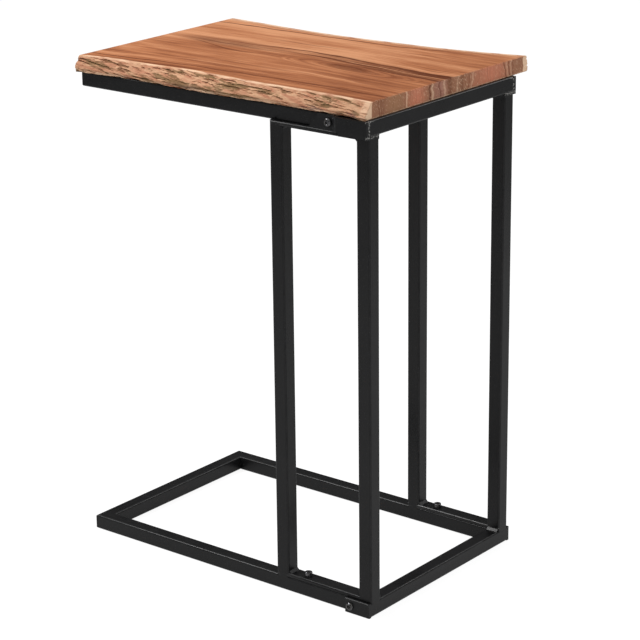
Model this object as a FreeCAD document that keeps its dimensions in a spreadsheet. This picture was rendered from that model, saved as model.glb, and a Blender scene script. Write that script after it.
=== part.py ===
"""C shaped side table: a live edge wooden slab on a bolted frame of square steel tube.

The frame is a flat top frame and a flat base frame of the same tube. Two pairs of posts join them at the
closed end, so that the open end slides over a seat. Each pair of posts stands between two flat bars, and lugs
of the same flat bar close the ends of the two end rails and are bolted to the long rails.

Frame: millimetres, +Z up, the floor at Z = 0. X runs along the slab, with the open end at -X and the closed
end at +X. The bark edge of the slab faces -Y. The origin is on the floor, under the middle of the base frame
along X and of the whole table along Y.
"""

import FreeCAD, Part
import math
import os
import re
import Sketcher

Vector = FreeCAD.Vector

# Alias, size in millimetres, what it is.
DRIVING_SIZES = [
    ("overall_height", 640.0, "floor to the top of the slab"),
    ("base_length", 460.0, "base frame along X, outside"),
    ("base_width", 294.0, "base frame along Y, outside of the long rails"),
    ("open_end_short", 3.0, "open end of the top frame short of the base frame's"),
    ("top_inset", 6.0, "long rails of the top frame behind the faces of the posts"),
    ("tube", 19.0, "outside of the square tube"),
    ("wall", 1.2, "wall of the square tube"),
    ("tube_round", 2.2, "outside corner radius of the square tube"),
    ("bar_thick", 4.8, "thickness of the flat bar"),
    ("bar_bevel", 0.7, "bevel along the edges of the flat bar"),
    ("post_clear", 110.0, "clear width between the two posts of a pair"),
    ("bar_bolt_in", 24.0, "bolt of a flat bar from the middle post's face"),
    ("base_lug_run", 37.0, "length of a base lug"),
    ("base_lug_bolt", 29.0, "base lug's bolt from the closed end"),
    ("top_lug_run", 90.0, "length of a top lug"),
    ("top_lug_flat", 44.0, "straight part of a top lug"),
    ("top_lug_joggle", 8.5, "length over which a top lug steps back"),
    ("top_lug_bolt", 60.5, "top lug's bolt from the closed end"),
    ("top_lug_drop", 3.2, "top lug below the underside of the top frame"),
    ("top_lug_clear", 0.2, "top lug below the underside of the slab"),
    ("top_lug_slant", 15.0, "slant of the end of a top lug"),
    ("bolt_run", 12.0, "length of a bolt under its head"),
    ("bolt_wide", 5.9, "diameter of a bolt's shank"),
    ("bolt_clear", 6.6, "hole that a bolt passes through"),
    ("button_wide", 10.5, "diameter of a button head"),
    ("button_tall", 3.3, "height of a button head"),
    ("button_crown", 5.6, "diameter of the flat on top of a button head"),
    ("cap_wide", 10.0, "diameter of a cap head"),
    ("cap_tall", 6.0, "height of a cap head"),
    ("flat_wide", 10.4, "diameter of a countersunk head"),
    ("flat_play", 0.1, "countersunk head inside the rim of its countersink"),
    ("socket_wide", 4.0, "hexagon socket across its flats"),
    ("socket_deep", 2.0, "depth of a hexagon socket"),
    ("nut_bore", 6.0, "bore of a weld nut"),
    ("nut_wide", 10.0, "weld nut across its flats"),
    ("nut_tall", 5.0, "thickness of a weld nut"),
    ("nut_clear", 0.3, "weld nut from the side wall of its rail"),
    ("screw_first", 60.0, "first slab screw from the open end of a long rail"),
    ("screw_last", 60.0, "last slab screw of a long rail from its bar's bolt"),
    ("screw_wide", 4.0, "diameter of a slab screw"),
    ("screw_grip", 14.0, "length of a slab screw in the wood"),
    ("screw_head_wide", 8.0, "diameter of a slab screw's head"),
    ("screw_head_tall", 2.6, "height of a slab screw's head"),
    ("screw_clear", 4.5, "hole in the rail under the slab for a screw"),
    ("screw_access", 10.0, "hole in the underside of the rail for a screw's head"),
    ("pilot_clear", 0.1, "slab screw's hole in the wood over the screw's diameter and length"),
    ("pilot_start", 1.0, "drill of a pilot hole, below the slab as it starts"),
    ("slab_thick", 20.0, "thickness of the slab"),
    ("slab_open_over", 4.0, "slab beyond the open end of the top frame"),
    ("slab_closed_short", 4.0, "slab short of the closed end of the top frame"),
    ("slab_front_over", 3.0, "widest place of the bark edge in front of the base frame"),
    ("slab_back_over", 37.0, "widest place of the rear edge behind the base frame"),
]

ALIASES = {alias for alias, size, meaning in DRIVING_SIZES}

# The slab's two natural edges, as millimetres in from its widest lines at nine even steps from the open end.
# Each edge is followed at the underside, at the swelling just above it, and at the upper face.
BARK_EDGE = {
    "underside": [2.0, 9.5, 11.0, 7.5, 6.6, 9.0, 10.0, 8.0, 11.0],
    "swelling": [0.0, 5.0, 6.0, 3.0, 2.0, 4.5, 5.5, 4.0, 8.0],
    "upper": [10.0, 20.0, 22.0, 26.0, 23.0, 20.0, 19.5, 18.0, 13.5],
}
REAR_EDGE = {
    "underside": [21.0, 27.0, 31.0, 33.0, 31.0, 27.0, 21.5, 12.0, 0.5],
    "swelling": [20.0, 25.5, 30.0, 31.5, 30.0, 25.5, 20.0, 10.5, 0.0],
    "upper": [28.0, 31.7, 36.0, 38.0, 36.5, 32.5, 27.5, 17.5, 3.0],
}

# Levels of the slab's sections as shares of its thickness. Below the swelling an edge is round, as a quarter
# of an ellipse. Above it the edge slopes in, by a power of the height.
SECTION_LEVELS = (0.0, 0.12, 0.28, 0.5, 0.75, 1.0)
SWELLING_LEVEL = 0.28
SLOPE_POWER = 1.5

# Places that many pieces share, as expressions of the driving sizes.
CLOSED_END = "(base_length / 2)"
OPEN_END = "(-base_length / 2)"
TOP_OPEN_END = "(open_end_short - base_length / 2)"
FRAME_MIDDLE = "((bar_thick + button_tall - slab_back_over) / 2)"
FRONT_FACE = f"({FRAME_MIDDLE} - base_width / 2)"
BACK_FACE = f"({FRAME_MIDDLE} + base_width / 2)"
TOP_FRAME_UNDERSIDE = "(overall_height - slab_thick - tube)"
POST_FOOT = "(tube + bar_thick)"
MID_POST_LEFT = f"({CLOSED_END} - 2 * tube - post_clear)"
BAR_BOLT_X = f"({MID_POST_LEFT} + tube + bar_bolt_in)"
FIRST_SCREW_X = f"({TOP_OPEN_END} + screw_first)"
LAST_SCREW_X = f"({BAR_BOLT_X} - screw_last)"
NUT_IN = "(wall + nut_clear + nut_wide / 2)"
TOP_LUG_TALL = "(top_lug_drop + tube - top_lug_clear)"

# Outlines of the bolts' heads, from the shank out and up to the middle of the top, as pairs of expressions.
BUTTON_HEAD = [
    ("bolt_wide / 2", "0"),
    ("button_wide / 2", "0"),
    ("button_crown / 2", "button_tall"),
    ("0", "button_tall"),
]
CAP_HEAD = [
    ("bolt_wide / 2", "0"),
    ("cap_wide / 2", "0"),
    ("cap_wide / 2", "cap_tall"),
    ("0", "cap_tall"),
]
FLAT_HEAD = [
    ("bolt_wide / 2", "(bolt_clear - flat_wide) / 2"),
    ("(flat_wide / 2 - flat_play)", "0"),
    ("0", "0"),
]

# Turns from a piece's own axes, where a tube runs along +Z, to the table's.
UPRIGHT = FreeCAD.Rotation()
ALONG_X = FreeCAD.Rotation(Vector(1, 1, 1), 120)
TOWARDS_FRONT = FreeCAD.Rotation(Vector(1, 0, 0), 90)
TOWARDS_BACK = FreeCAD.Rotation(Vector(1, 0, 0), -90)
UPSIDE_DOWN = FreeCAD.Rotation(Vector(1, 0, 0), 180)

UP = Vector(0, 0, 1)

# Two places or directions that differ by less than this are the same one.
SAME = 0.001

doc = FreeCAD.newDocument("CShapedSideTable")


# ---------------------------------------------------------------- sheet and expressions


def make_sheet():
    """The spreadsheet of driving sizes: what each is in column A, its value in column B."""
    sheet = doc.addObject("Spreadsheet::Sheet", "Sizes")
    for row, (alias, size, meaning) in enumerate(DRIVING_SIZES, start=1):
        sheet.set(f"A{row}", meaning)
        sheet.set(f"B{row}", str(size))
        sheet.setAlias(f"B{row}", alias)
    doc.recompute()
    return sheet


def sized(text):
    """An expression on the driving sizes, with each alias written the way the document reads it."""

    def full_name(match):
        word = match.group()
        return f"Sizes.{word}" if word in ALIASES else word

    return re.sub(r"[a-z_]+", full_name, text)


def minus(text):
    """The same expression with the opposite sign."""
    return f"-({text})"


def place(piece, x, y, z, turn=UPRIGHT):
    """Turns a piece and ties its origin to a place given by three expressions."""
    piece.Placement = FreeCAD.Placement(Vector(), turn)
    for axis, text in zip("xyz", (x, y, z)):
        piece.setExpression(f"Placement.Base.{axis}", sized(text))
    return piece


# ---------------------------------------------------------------- sketches


def origin_feature(body, role):
    """One of a body's own origin planes or axes."""
    return next(part for part in body.Origin.OriginFeatures if part.Role == role)


def sketch_on(body, role, name):
    """An empty sketch on one of a body's origin planes."""
    sketch = body.newObject("Sketcher::SketchObject", f"{body.Name}_{name}")
    sketch.AttachmentSupport = [(origin_feature(body, role), "")]
    sketch.MapMode = "FlatFace"
    return sketch


def hold_point(sketch, curve, point, x, y):
    """Holds one point of a sketch at a place given by two expressions."""
    for kind, text, axis in (("DistanceX", x, -2), ("DistanceY", y, -1)):
        if text == "0":
            sketch.addConstraint(Sketcher.Constraint("PointOnObject", curve, point, axis))
        else:
            held = sketch.addConstraint(Sketcher.Constraint(kind, -1, 1, curve, point, 1.0))
            sketch.setExpression(f"Constraints[{held}]", sized(text))


def outline(sketch, corners):
    """A closed outline of straight lines whose corners are pairs of expressions."""
    first = sketch.GeometryCount
    count = len(corners)
    starts = [Vector(step, step * step, 0) for step in range(count)]
    for step in range(count):
        line = Part.LineSegment(starts[step], starts[(step + 1) % count])
        sketch.addGeometry(line, False)
    for step in range(count):
        following = first + (step + 1) % count
        sketch.addConstraint(Sketcher.Constraint("Coincident", first + step, 2, following, 1))
    for step, (x, y) in enumerate(corners):
        hold_point(sketch, first + step, 1, x, y)


def rectangle(sketch, left, bottom, right, top):
    """An upright rectangle between four expressions."""
    outline(sketch, [(left, bottom), (right, bottom), (right, top), (left, top)])


def square(sketch, half):
    """A square centred on the sketch's origin, half its side given by an expression."""
    rectangle(sketch, minus(half), minus(half), half, half)


def hexagon(sketch, across_flats):
    """A regular hexagon centred on the sketch's origin, with two corners on its X axis."""
    corner = f"({across_flats} / 2 / cos(30))"
    half_corner = f"({corner} / 2)"
    flat = f"({across_flats} / 2)"
    outline(
        sketch,
        [
            (corner, "0"),
            (half_corner, flat),
            (minus(half_corner), flat),
            (minus(corner), "0"),
            (minus(half_corner), minus(flat)),
            (half_corner, minus(flat)),
        ],
    )


def circle(sketch, x, y, diameter):
    """A circle whose centre and diameter are expressions."""
    curve = sketch.addGeometry(Part.Circle(Vector(0, 0, 0), Vector(0, 0, 1), 1), False)
    hold_point(sketch, curve, 3, x, y)
    size = sketch.addConstraint(Sketcher.Constraint("Diameter", curve, 2.0))
    sketch.setExpression(f"Constraints[{size}]", sized(diameter))


# ---------------------------------------------------------------- features


def new_body(label):
    """An empty body whose label is the sub-part's name."""
    body = doc.addObject("PartDesign::Body", label)
    body.Label = label
    return body


def pad(body, profile, length):
    """Pads a sketch by an expression."""
    feature = body.newObject("PartDesign::Pad", f"{body.Name}_pad")
    feature.Profile = profile
    feature.setExpression("Length", sized(length))
    doc.recompute()
    return feature


def cut_through(body, profile, side="Symmetric"):
    """Cuts a sketch right through a body: on both sides of its plane, or only Near or Far of it."""
    before = body.Shape.Volume
    feature = body.newObject("PartDesign::Pocket", f"{profile.Name}_cut")
    feature.Profile = profile
    feature.Type = "ThroughAll"
    if side == "Symmetric":
        feature.SideType = "Symmetric"
    feature.Reversed = side == "Far"
    doc.recompute()
    if body.Shape.Volume >= before:
        raise ValueError(f"{feature.Name} cuts nothing")
    return feature


def revolve(body, profile):
    """Turns a sketch on the body's XZ plane right round its Z axis."""
    feature = body.newObject("PartDesign::Revolution", f"{body.Name}_turned")
    feature.Profile = profile
    feature.ReferenceAxis = (origin_feature(body, "Z_Axis"), [""])
    feature.Angle = 360
    doc.recompute()
    return feature


def dress_edges(body, kind, chosen, size, name):
    """Puts a Fillet or a Chamfer on the chosen edges of a body."""
    feature = body.Tip
    names = [f"Edge{n}" for n, edge in enumerate(feature.Shape.Edges, start=1) if chosen(edge)]
    dressed = body.newObject(f"PartDesign::{kind}", f"{body.Name}_{name}")
    dressed.Base = (feature, names)
    dressed.setExpression("Radius" if kind == "Fillet" else "Size", sized(size))
    doc.recompute()


def runs_along(edge, axis):
    """True for a straight edge that is parallel to an axis."""
    if not isinstance(edge.Curve, Part.Line):
        return False
    return abs(edge.Curve.Direction.dot(axis)) > 1 - SAME


def mirrored(label, source):
    """The like piece of the table's other long side."""
    copy = doc.addObject("Part::Mirroring", label)
    copy.Label = label
    copy.Source = source
    copy.Normal = Vector(0, 1, 0)
    copy.setExpression("Base.y", sized(FRAME_MIDDLE))
    return copy


def grouped(label, pieces):
    """Like pieces kept together as one sub-part of separate solids."""
    group = doc.addObject("Part::Compound", label)
    group.Label = label
    group.Links = pieces
    return group


# ---------------------------------------------------------------- square tube


def square_tube(label, length):
    """A length of square tube with rounded corners, along its own +Z from the origin."""
    body = new_body(label)
    profile = sketch_on(body, "XY_Plane", "profile")
    square(profile, "tube / 2")
    square(profile, "(tube / 2 - wall)")
    pad(body, profile, length)
    outermost = max(off_axis(edge) for edge in body.Shape.Edges)

    def outer_corner(edge):
        return runs_along(edge, UP) and off_axis(edge) > outermost - SAME

    dress_edges(body, "Fillet", outer_corner, "tube_round", "corners")
    return body


def off_axis(edge):
    """How far the middle of an edge is from a body's Z axis."""
    middle = edge.CenterOfMass
    return Vector(middle.x, middle.y, 0).Length


def mitre(body, length, at_far_end):
    """Saws one end of a tube at 45 degrees, so that its -X face stays the long one."""
    sketch = sketch_on(body, "XZ_Plane", "far_mitre" if at_far_end else "near_mitre")
    end = length if at_far_end else "0"
    inner = f"({length} - tube)" if at_far_end else "tube"
    outline(sketch, [("-tube / 2", end), ("tube / 2", end), ("tube / 2", inner)])
    cut_through(body, sketch)


def wall_hole(body, name, along, diameter, wall, across="0"):
    """Drills one wall of a tube: its upper, under or outer one, as the piece lies in the table."""
    plane = "YZ_Plane" if wall == "outer" else "XZ_Plane"
    sketch = sketch_on(body, plane, name)
    circle(sketch, across, along, diameter)
    return cut_through(body, sketch, "Far" if wall == "under" else "Near")


def screw_holes(body, along):
    """A screw's hole under the slab and the wider one below it that lets its head in."""
    clear = wall_hole(body, "screw_hole", along, "screw_clear", "upper")
    access = wall_hole(body, "screw_access", along, "screw_access", "under")
    return [clear, access]


def repeat_along(body, features, reach, count):
    """Repeats features along a tube, the last ones at a distance given by an expression."""
    pattern = body.newObject("PartDesign::LinearPattern", f"{body.Name}_row")
    pattern.Originals = features
    pattern.Direction = (origin_feature(body, "Z_Axis"), [""])
    pattern.Occurrences = count
    pattern.setExpression("Length", sized(reach))
    body.Tip = pattern
    doc.recompute()


# ---------------------------------------------------------------- rails and posts


def base_front_rail():
    length = "(base_length - tube)"
    rail = square_tube("base_front_rail", length)
    mitre(rail, length, at_far_end=False)
    wall_hole(rail, "bar_bolt", f"({BAR_BOLT_X} - {OPEN_END})", "bolt_clear", "upper")
    wall_hole(rail, "lug_bolt", "(base_length - base_lug_bolt)", "bolt_clear", "outer")
    return place(rail, OPEN_END, f"{FRONT_FACE} + tube / 2", "tube / 2", ALONG_X)


def base_open_rail():
    rail = square_tube("base_open_rail", "base_width")
    mitre(rail, "base_width", at_far_end=False)
    mitre(rail, "base_width", at_far_end=True)
    return place(rail, f"{OPEN_END} + tube / 2", BACK_FACE, "tube / 2", TOWARDS_FRONT)


def base_end_rail():
    rail = square_tube("base_end_rail", "base_width")
    return place(rail, f"{CLOSED_END} - tube / 2", BACK_FACE, "tube / 2", TOWARDS_FRONT)


def top_front_rail():
    length = "(base_length - open_end_short - tube)"
    rail = square_tube("top_front_rail", length)
    mitre(rail, length, at_far_end=False)
    repeat_along(rail, screw_holes(rail, "screw_first"), f"{LAST_SCREW_X} - {FIRST_SCREW_X}", 2)
    bar_bolt = f"({BAR_BOLT_X} - {TOP_OPEN_END})"
    wall_hole(rail, "bar_bolt", bar_bolt, "bolt_clear", "under", f"({NUT_IN} - tube / 2)")
    lug_bolt = "(base_length - open_end_short - top_lug_bolt)"
    wall_hole(rail, "lug_bolt", lug_bolt, "bolt_clear", "outer")
    middle_y = f"{FRONT_FACE} + top_inset + tube / 2"
    return place(rail, TOP_OPEN_END, middle_y, f"{TOP_FRAME_UNDERSIDE} + tube / 2", ALONG_X)


def top_open_rail():
    length = "(base_width - 2 * top_inset)"
    rail = square_tube("top_open_rail", length)
    mitre(rail, length, at_far_end=False)
    mitre(rail, length, at_far_end=True)
    middle_x = f"{TOP_OPEN_END} + tube / 2"
    back = f"{BACK_FACE} - top_inset"
    return place(rail, middle_x, back, f"{TOP_FRAME_UNDERSIDE} + tube / 2", TOWARDS_FRONT)


def top_end_rail():
    rail = square_tube("top_end_rail", "base_width")
    middle_x = f"{CLOSED_END} - tube / 2"
    return place(rail, middle_x, BACK_FACE, f"{TOP_FRAME_UNDERSIDE} + tube / 2", TOWARDS_FRONT)


def front_post(label, middle_x):
    """A post between the two flat bars of the front side."""
    post = square_tube(label, "(overall_height - slab_thick - 2 * tube - 2 * bar_thick)")
    return place(post, middle_x, f"{FRONT_FACE} + tube / 2", POST_FOOT)


# ---------------------------------------------------------------- flat bars and lugs


def flat_bar(label, bolt_y):
    """The bar across a pair of posts, from the middle post's far face to the closed end."""
    body = new_body(label)
    profile = sketch_on(body, "XY_Plane", "profile")
    rectangle(profile, "0", "0", "(2 * tube + post_clear)", "tube")
    circle(profile, "(tube + bar_bolt_in)", bolt_y, "bolt_clear")
    pad(body, profile, "bar_thick")

    def long_edge(edge):
        return runs_along(edge, Vector(1, 0, 0))

    dress_edges(body, "Chamfer", long_edge, "bar_bevel", "bevels")
    return body


def base_front_bar():
    bar = flat_bar("base_front_bar", "tube / 2")
    return place(bar, MID_POST_LEFT, FRONT_FACE, "tube")


def top_front_bar():
    """The top bar, countersunk from below for its bolt."""
    bar = flat_bar("top_front_bar", f"(top_inset + {NUT_IN})")

    def lower_rim(edge):
        return isinstance(edge.Curve, Part.Circle) and abs(edge.CenterOfMass.z) < SAME

    dress_edges(bar, "Chamfer", lower_rim, "(flat_wide - bolt_clear) / 2", "countersink")
    return place(bar, MID_POST_LEFT, FRONT_FACE, f"{TOP_FRAME_UNDERSIDE} - bar_thick")


def base_front_lug():
    """A flat lug over the end of the base end rail and on to the front rail."""
    body = new_body("base_front_lug")
    profile = sketch_on(body, "XY_Plane", "profile")
    rectangle(profile, "-base_lug_run", "-bar_thick", "0", "0")
    pad(body, profile, "tube")
    front = body.Shape.BoundBox.YMin

    def front_edge(edge):
        return edge.BoundBox.YMax < front + SAME

    dress_edges(body, "Chamfer", front_edge, "bar_bevel", "bevels")
    hole = sketch_on(body, "XZ_Plane", "bolt_hole")
    circle(hole, "-base_lug_bolt", "tube / 2", "bolt_clear")
    cut_through(body, hole)
    return place(body, CLOSED_END, FRONT_FACE, "0")


def top_front_lug():
    """A joggled lug: straight over the end of the top end rail, then stepped back on to the front rail.

    Its straight part hangs in front of the flat bar. Its tab rests on the bar's lip and ends in a slant.
    """
    body = new_body("top_front_lug")
    step = "(top_lug_flat + top_lug_joggle)"
    bend_gain = "bar_thick * tan(atan(top_inset / top_lug_joggle) / 2)"
    profile = sketch_on(body, "XY_Plane", "profile")
    outline(
        profile,
        [
            ("0", "-bar_thick"),
            ("0", "0"),
            ("-top_lug_flat", "0"),
            (minus(step), "top_inset"),
            ("-top_lug_run", "top_inset"),
            ("-top_lug_run", "(top_inset - bar_thick)"),
            (minus(f"{step} + {bend_gain}"), "(top_inset - bar_thick)"),
            (minus(f"top_lug_flat + {bend_gain}"), "-bar_thick"),
        ],
    )
    pad(body, profile, TOP_LUG_TALL)
    box = body.Shape.BoundBox

    def bend(edge):
        between_ends = box.XMin + SAME < edge.CenterOfMass.x < box.XMax - SAME
        return runs_along(edge, UP) and between_ends

    dress_edges(body, "Fillet", bend, "bar_thick / 2", "bends")
    trim = sketch_on(body, "XZ_Plane", "trim")
    outline(
        trim,
        [
            ("(-top_lug_run - tube)", "-tube"),
            ("(bar_thick / 2 - top_lug_flat)", "-tube"),
            ("(bar_thick / 2 - top_lug_flat)", "top_lug_drop"),
            ("-top_lug_run", "top_lug_drop"),
            ("(top_lug_slant - top_lug_run)", TOP_LUG_TALL),
            ("(top_lug_slant - top_lug_run)", f"({TOP_LUG_TALL} + tube)"),
            ("(-top_lug_run - tube)", f"({TOP_LUG_TALL} + tube)"),
        ],
    )
    cut_through(body, trim)
    hole = sketch_on(body, "XZ_Plane", "bolt_hole")
    circle(hole, "-top_lug_bolt", "(top_lug_drop + tube / 2)", "bolt_clear")
    cut_through(body, hole)
    return place(body, CLOSED_END, FRONT_FACE, f"{TOP_FRAME_UNDERSIDE} - top_lug_drop")


# ---------------------------------------------------------------- fasteners


def socket(body, top):
    """The hexagon socket in the head of a bolt whose head ends at a height given by an expression."""
    sketch = sketch_on(body, "XY_Plane", "socket")
    sketch.setExpression("AttachmentOffset.Base.z", sized(top))
    hexagon(sketch, "socket_wide")
    feature = body.newObject("PartDesign::Pocket", f"{body.Name}_socket")
    feature.Profile = sketch
    feature.setExpression("Length", sized("socket_deep"))
    doc.recompute()


def socket_bolt(label, head, x, y, z, turn):
    """A bolt with a hexagon socket in its head, its shank below the origin."""
    body = new_body(label)
    profile = sketch_on(body, "XZ_Plane", "profile")
    outline(profile, [("0", "-bolt_run"), ("bolt_wide / 2", "-bolt_run"), *head])
    revolve(body, profile)
    socket(body, head[-1][1])
    return place(body, x, y, z, turn)


def weld_nut(label, x, y, z, turn):
    """A hexagon weld nut that stands on the origin."""
    body = new_body(label)
    profile = sketch_on(body, "XY_Plane", "profile")
    hexagon(profile, "nut_wide")
    circle(profile, "0", "0", "nut_bore")
    pad(body, profile, "nut_tall")
    return place(body, x, y, z, turn)


def slab_screw(label, x, y):
    """A pan head wood screw, driven up from inside a long rail of the top frame."""
    body = new_body(label)
    profile = sketch_on(body, "XZ_Plane", "profile")
    outline(
        profile,
        [
            ("0", "-screw_head_tall"),
            ("screw_head_wide / 2", "-screw_head_tall"),
            ("screw_head_wide / 2", "0"),
            ("screw_wide / 2", "0"),
            ("screw_wide / 2", "(wall + screw_grip)"),
            ("0", "(wall + screw_grip)"),
        ],
    )
    revolve(body, profile)
    return place(body, x, y, f"{TOP_FRAME_UNDERSIDE} + tube - wall")


def all_button_bolts():
    """Bolts of the base lug and the top lug, on both long sides."""
    base_lug_bolt = socket_bolt(
        "base_lug_bolt",
        BUTTON_HEAD,
        f"{CLOSED_END} - base_lug_bolt",
        f"{FRONT_FACE} - bar_thick",
        "tube / 2",
        TOWARDS_FRONT,
    )
    top_lug_bolt = socket_bolt(
        "top_lug_bolt",
        BUTTON_HEAD,
        f"{CLOSED_END} - top_lug_bolt",
        f"{FRONT_FACE} + top_inset - bar_thick",
        f"{TOP_FRAME_UNDERSIDE} + tube / 2",
        TOWARDS_FRONT,
    )
    front = grouped("front_button_bolts", [base_lug_bolt, top_lug_bolt])
    return grouped("button_bolts", [front, mirrored("back_button_bolts", front)])


def all_cap_bolts():
    """Cap head bolts down through the two base bars."""
    middle = f"{FRONT_FACE} + tube / 2"
    front = socket_bolt("front_cap_bolt", CAP_HEAD, BAR_BOLT_X, middle, POST_FOOT, UPRIGHT)
    return grouped("cap_bolts", [front, mirrored("back_cap_bolt", front)])


def all_flat_bolts():
    """Countersunk bolts under the two top bars."""
    bolt_y = f"{FRONT_FACE} + top_inset + {NUT_IN}"
    underside = f"{TOP_FRAME_UNDERSIDE} - bar_thick"
    front = socket_bolt("front_flat_bolt", FLAT_HEAD, BAR_BOLT_X, bolt_y, underside, UPSIDE_DOWN)
    return grouped("flat_bolts", [front, mirrored("back_flat_bolt", front)])


def all_weld_nuts():
    """Nuts inside the long rails, one behind each bolt."""
    middle = f"{FRONT_FACE} + tube / 2"
    top_bar_y = f"{FRONT_FACE} + top_inset + {NUT_IN}"
    front = grouped(
        "front_weld_nuts",
        [
            weld_nut("base_bar_nut", BAR_BOLT_X, middle, "tube - wall - nut_tall", UPRIGHT),
            weld_nut("top_bar_nut", BAR_BOLT_X, top_bar_y, f"{TOP_FRAME_UNDERSIDE} + wall", UPRIGHT),
            weld_nut(
                "base_lug_nut",
                f"{CLOSED_END} - base_lug_bolt",
                f"{FRONT_FACE} + wall",
                "tube / 2",
                TOWARDS_BACK,
            ),
            weld_nut(
                "top_lug_nut",
                f"{CLOSED_END} - top_lug_bolt",
                f"{FRONT_FACE} + top_inset + wall",
                f"{TOP_FRAME_UNDERSIDE} + tube / 2",
                TOWARDS_BACK,
            ),
        ],
    )
    return grouped("weld_nuts", [front, mirrored("back_weld_nuts", front)])


def screw_places():
    """Where the slab screws stand: a row in each long rail of the top frame."""
    front_row = f"{FRONT_FACE} + top_inset + tube / 2"
    back_row = f"{BACK_FACE} - top_inset - tube / 2"
    return [(x, y) for y in (front_row, back_row) for x in (FIRST_SCREW_X, LAST_SCREW_X)]


def all_slab_screws():
    screws = [slab_screw(f"slab_screw_{n}", x, y) for n, (x, y) in enumerate(screw_places(), start=1)]
    return grouped("slab_screws", screws)


# ---------------------------------------------------------------- slab


def edge_at(level, edge):
    """The insets of a natural edge at a share of the slab's thickness."""
    if level < SWELLING_LEVEL:
        other = edge["underside"]
        share = 1 - math.sin(math.pi / 2 * level / SWELLING_LEVEL)
    else:
        other = edge["upper"]
        share = ((level - SWELLING_LEVEL) / (1 - SWELLING_LEVEL)) ** SLOPE_POWER
    return [full + share * (far - full) for full, far in zip(edge["swelling"], other)]


def slab_section(sheet, level):
    """A closed wire round the slab at one level, from the slab's own corner at its open end and front."""
    length = sheet.base_length - sheet.open_end_short + sheet.slab_open_over - sheet.slab_closed_short
    width = sheet.base_width + sheet.slab_front_over + sheet.slab_back_over
    height = level * sheet.slab_thick
    bark = edge_at(level, BARK_EDGE)
    rear = edge_at(level, REAR_EDGE)
    step = length / (len(bark) - 1)
    bark_points = [Vector(n * step, inset, height) for n, inset in enumerate(bark)]
    rear_points = [Vector(n * step, width - inset, height) for n, inset in enumerate(rear)]
    closed_end = Part.LineSegment(bark_points[-1], rear_points[-1])
    open_end = Part.LineSegment(rear_points[0], bark_points[0])
    curves = (smooth_curve(bark_points), closed_end, smooth_curve(rear_points[::-1]), open_end)
    return Part.Wire([curve.toShape() for curve in curves])


def smooth_curve(points):
    """A smooth curve through points."""
    curve = Part.BSplineCurve()
    curve.interpolate(points)
    return curve


def slab_blank(sheet):
    """The slab before it is drilled: a solid lofted up through sections of its natural outline."""
    sections = []
    for number, level in enumerate(SECTION_LEVELS, start=1):
        section = doc.addObject("Part::Feature", f"slab_section_{number}")
        section.Shape = slab_section(sheet, level)
        left = f"{TOP_OPEN_END} - slab_open_over"
        front = f"{FRONT_FACE} - slab_front_over"
        sections.append(place(section, left, front, "overall_height - slab_thick"))
    blank = doc.addObject("Part::Loft", "slab_blank")
    blank.Sections = sections
    blank.Solid = True
    blank.Ruled = True
    return blank


def pilot_hole(label, x, y):
    """The hole of one screw, up into the slab from just under it."""
    hole = doc.addObject("Part::Cylinder", label)
    hole.setExpression("Radius", sized("(screw_wide + pilot_clear) / 2"))
    hole.setExpression("Height", sized("pilot_start + screw_grip + pilot_clear"))
    return place(hole, x, y, "overall_height - slab_thick - pilot_start")


def slab(sheet):
    holes = [pilot_hole(f"pilot_{n}", x, y) for n, (x, y) in enumerate(screw_places(), start=1)]
    drilled = doc.addObject("Part::Cut", "slab")
    drilled.Label = "slab"
    drilled.Base = slab_blank(sheet)
    drilled.Tool = grouped("pilot_holes", holes)
    doc.recompute()
    return drilled


# ---------------------------------------------------------------- the table


def build_table(sheet):
    """Every sub-part of the table, each labelled with its name."""
    mid_post_x = f"{MID_POST_LEFT} + tube / 2"
    sides = [
        ("base_back_rail", base_front_rail()),
        ("top_back_rail", top_front_rail()),
        ("back_mid_post", front_post("front_mid_post", mid_post_x)),
        ("back_corner_post", front_post("front_corner_post", f"{CLOSED_END} - tube / 2")),
        ("base_back_bar", base_front_bar()),
        ("top_back_bar", top_front_bar()),
        ("base_back_lug", base_front_lug()),
        ("top_back_lug", top_front_lug()),
    ]
    pieces = [front for back_label, front in sides]
    pieces += [mirrored(back_label, front) for back_label, front in sides]
    pieces += [base_open_rail(), base_end_rail(), top_open_rail(), top_end_rail()]
    pieces += [all_button_bolts(), all_cap_bolts(), all_flat_bolts()]
    pieces += [all_weld_nuts(), all_slab_screws()]
    pieces.append(slab(sheet))
    doc.recompute()
    return pieces


def check_document(pieces):
    """Stops before anything is written if an object failed or a sub-part's shape isn't sound."""
    for item in doc.Objects:
        if "Invalid" in item.State or "Error" in item.State:
            raise ValueError(f"{item.Name} failed: {item.State}")
    for piece in pieces:
        if piece.Shape.isNull() or not piece.Shape.isValid() or not piece.Shape.Solids:
            raise ValueError(f"{piece.Label} has no sound shape")


def write_parts(pieces):
    """Writes each sub-part to a STEP file of its own name."""
    os.makedirs("parts", exist_ok=True)
    for piece in pieces:
        piece.Shape.exportStep(os.path.join("parts", piece.Label + ".step"))
        print(piece.Label, len(piece.Shape.Solids), round(piece.Shape.Volume, 1))


table = build_table(make_sheet())
check_document(table)
write_parts(table)
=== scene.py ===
"""Looks of a C shaped side table: a live edge slab on a black frame of square steel tube.

The frame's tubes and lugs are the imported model's own parts with a painted finish. The slab, the bolts whose
heads show, the bars with their ground corners and the welds are made here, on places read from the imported
model.
"""

import math
from collections import namedtuple

import bmesh
import bpy
import numpy as np
from bpy.props import FloatProperty, FloatVectorProperty, IntProperty, PointerProperty
from mathutils import Matrix, Vector, noise
from mathutils.bvhtree import BVHTree


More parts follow.
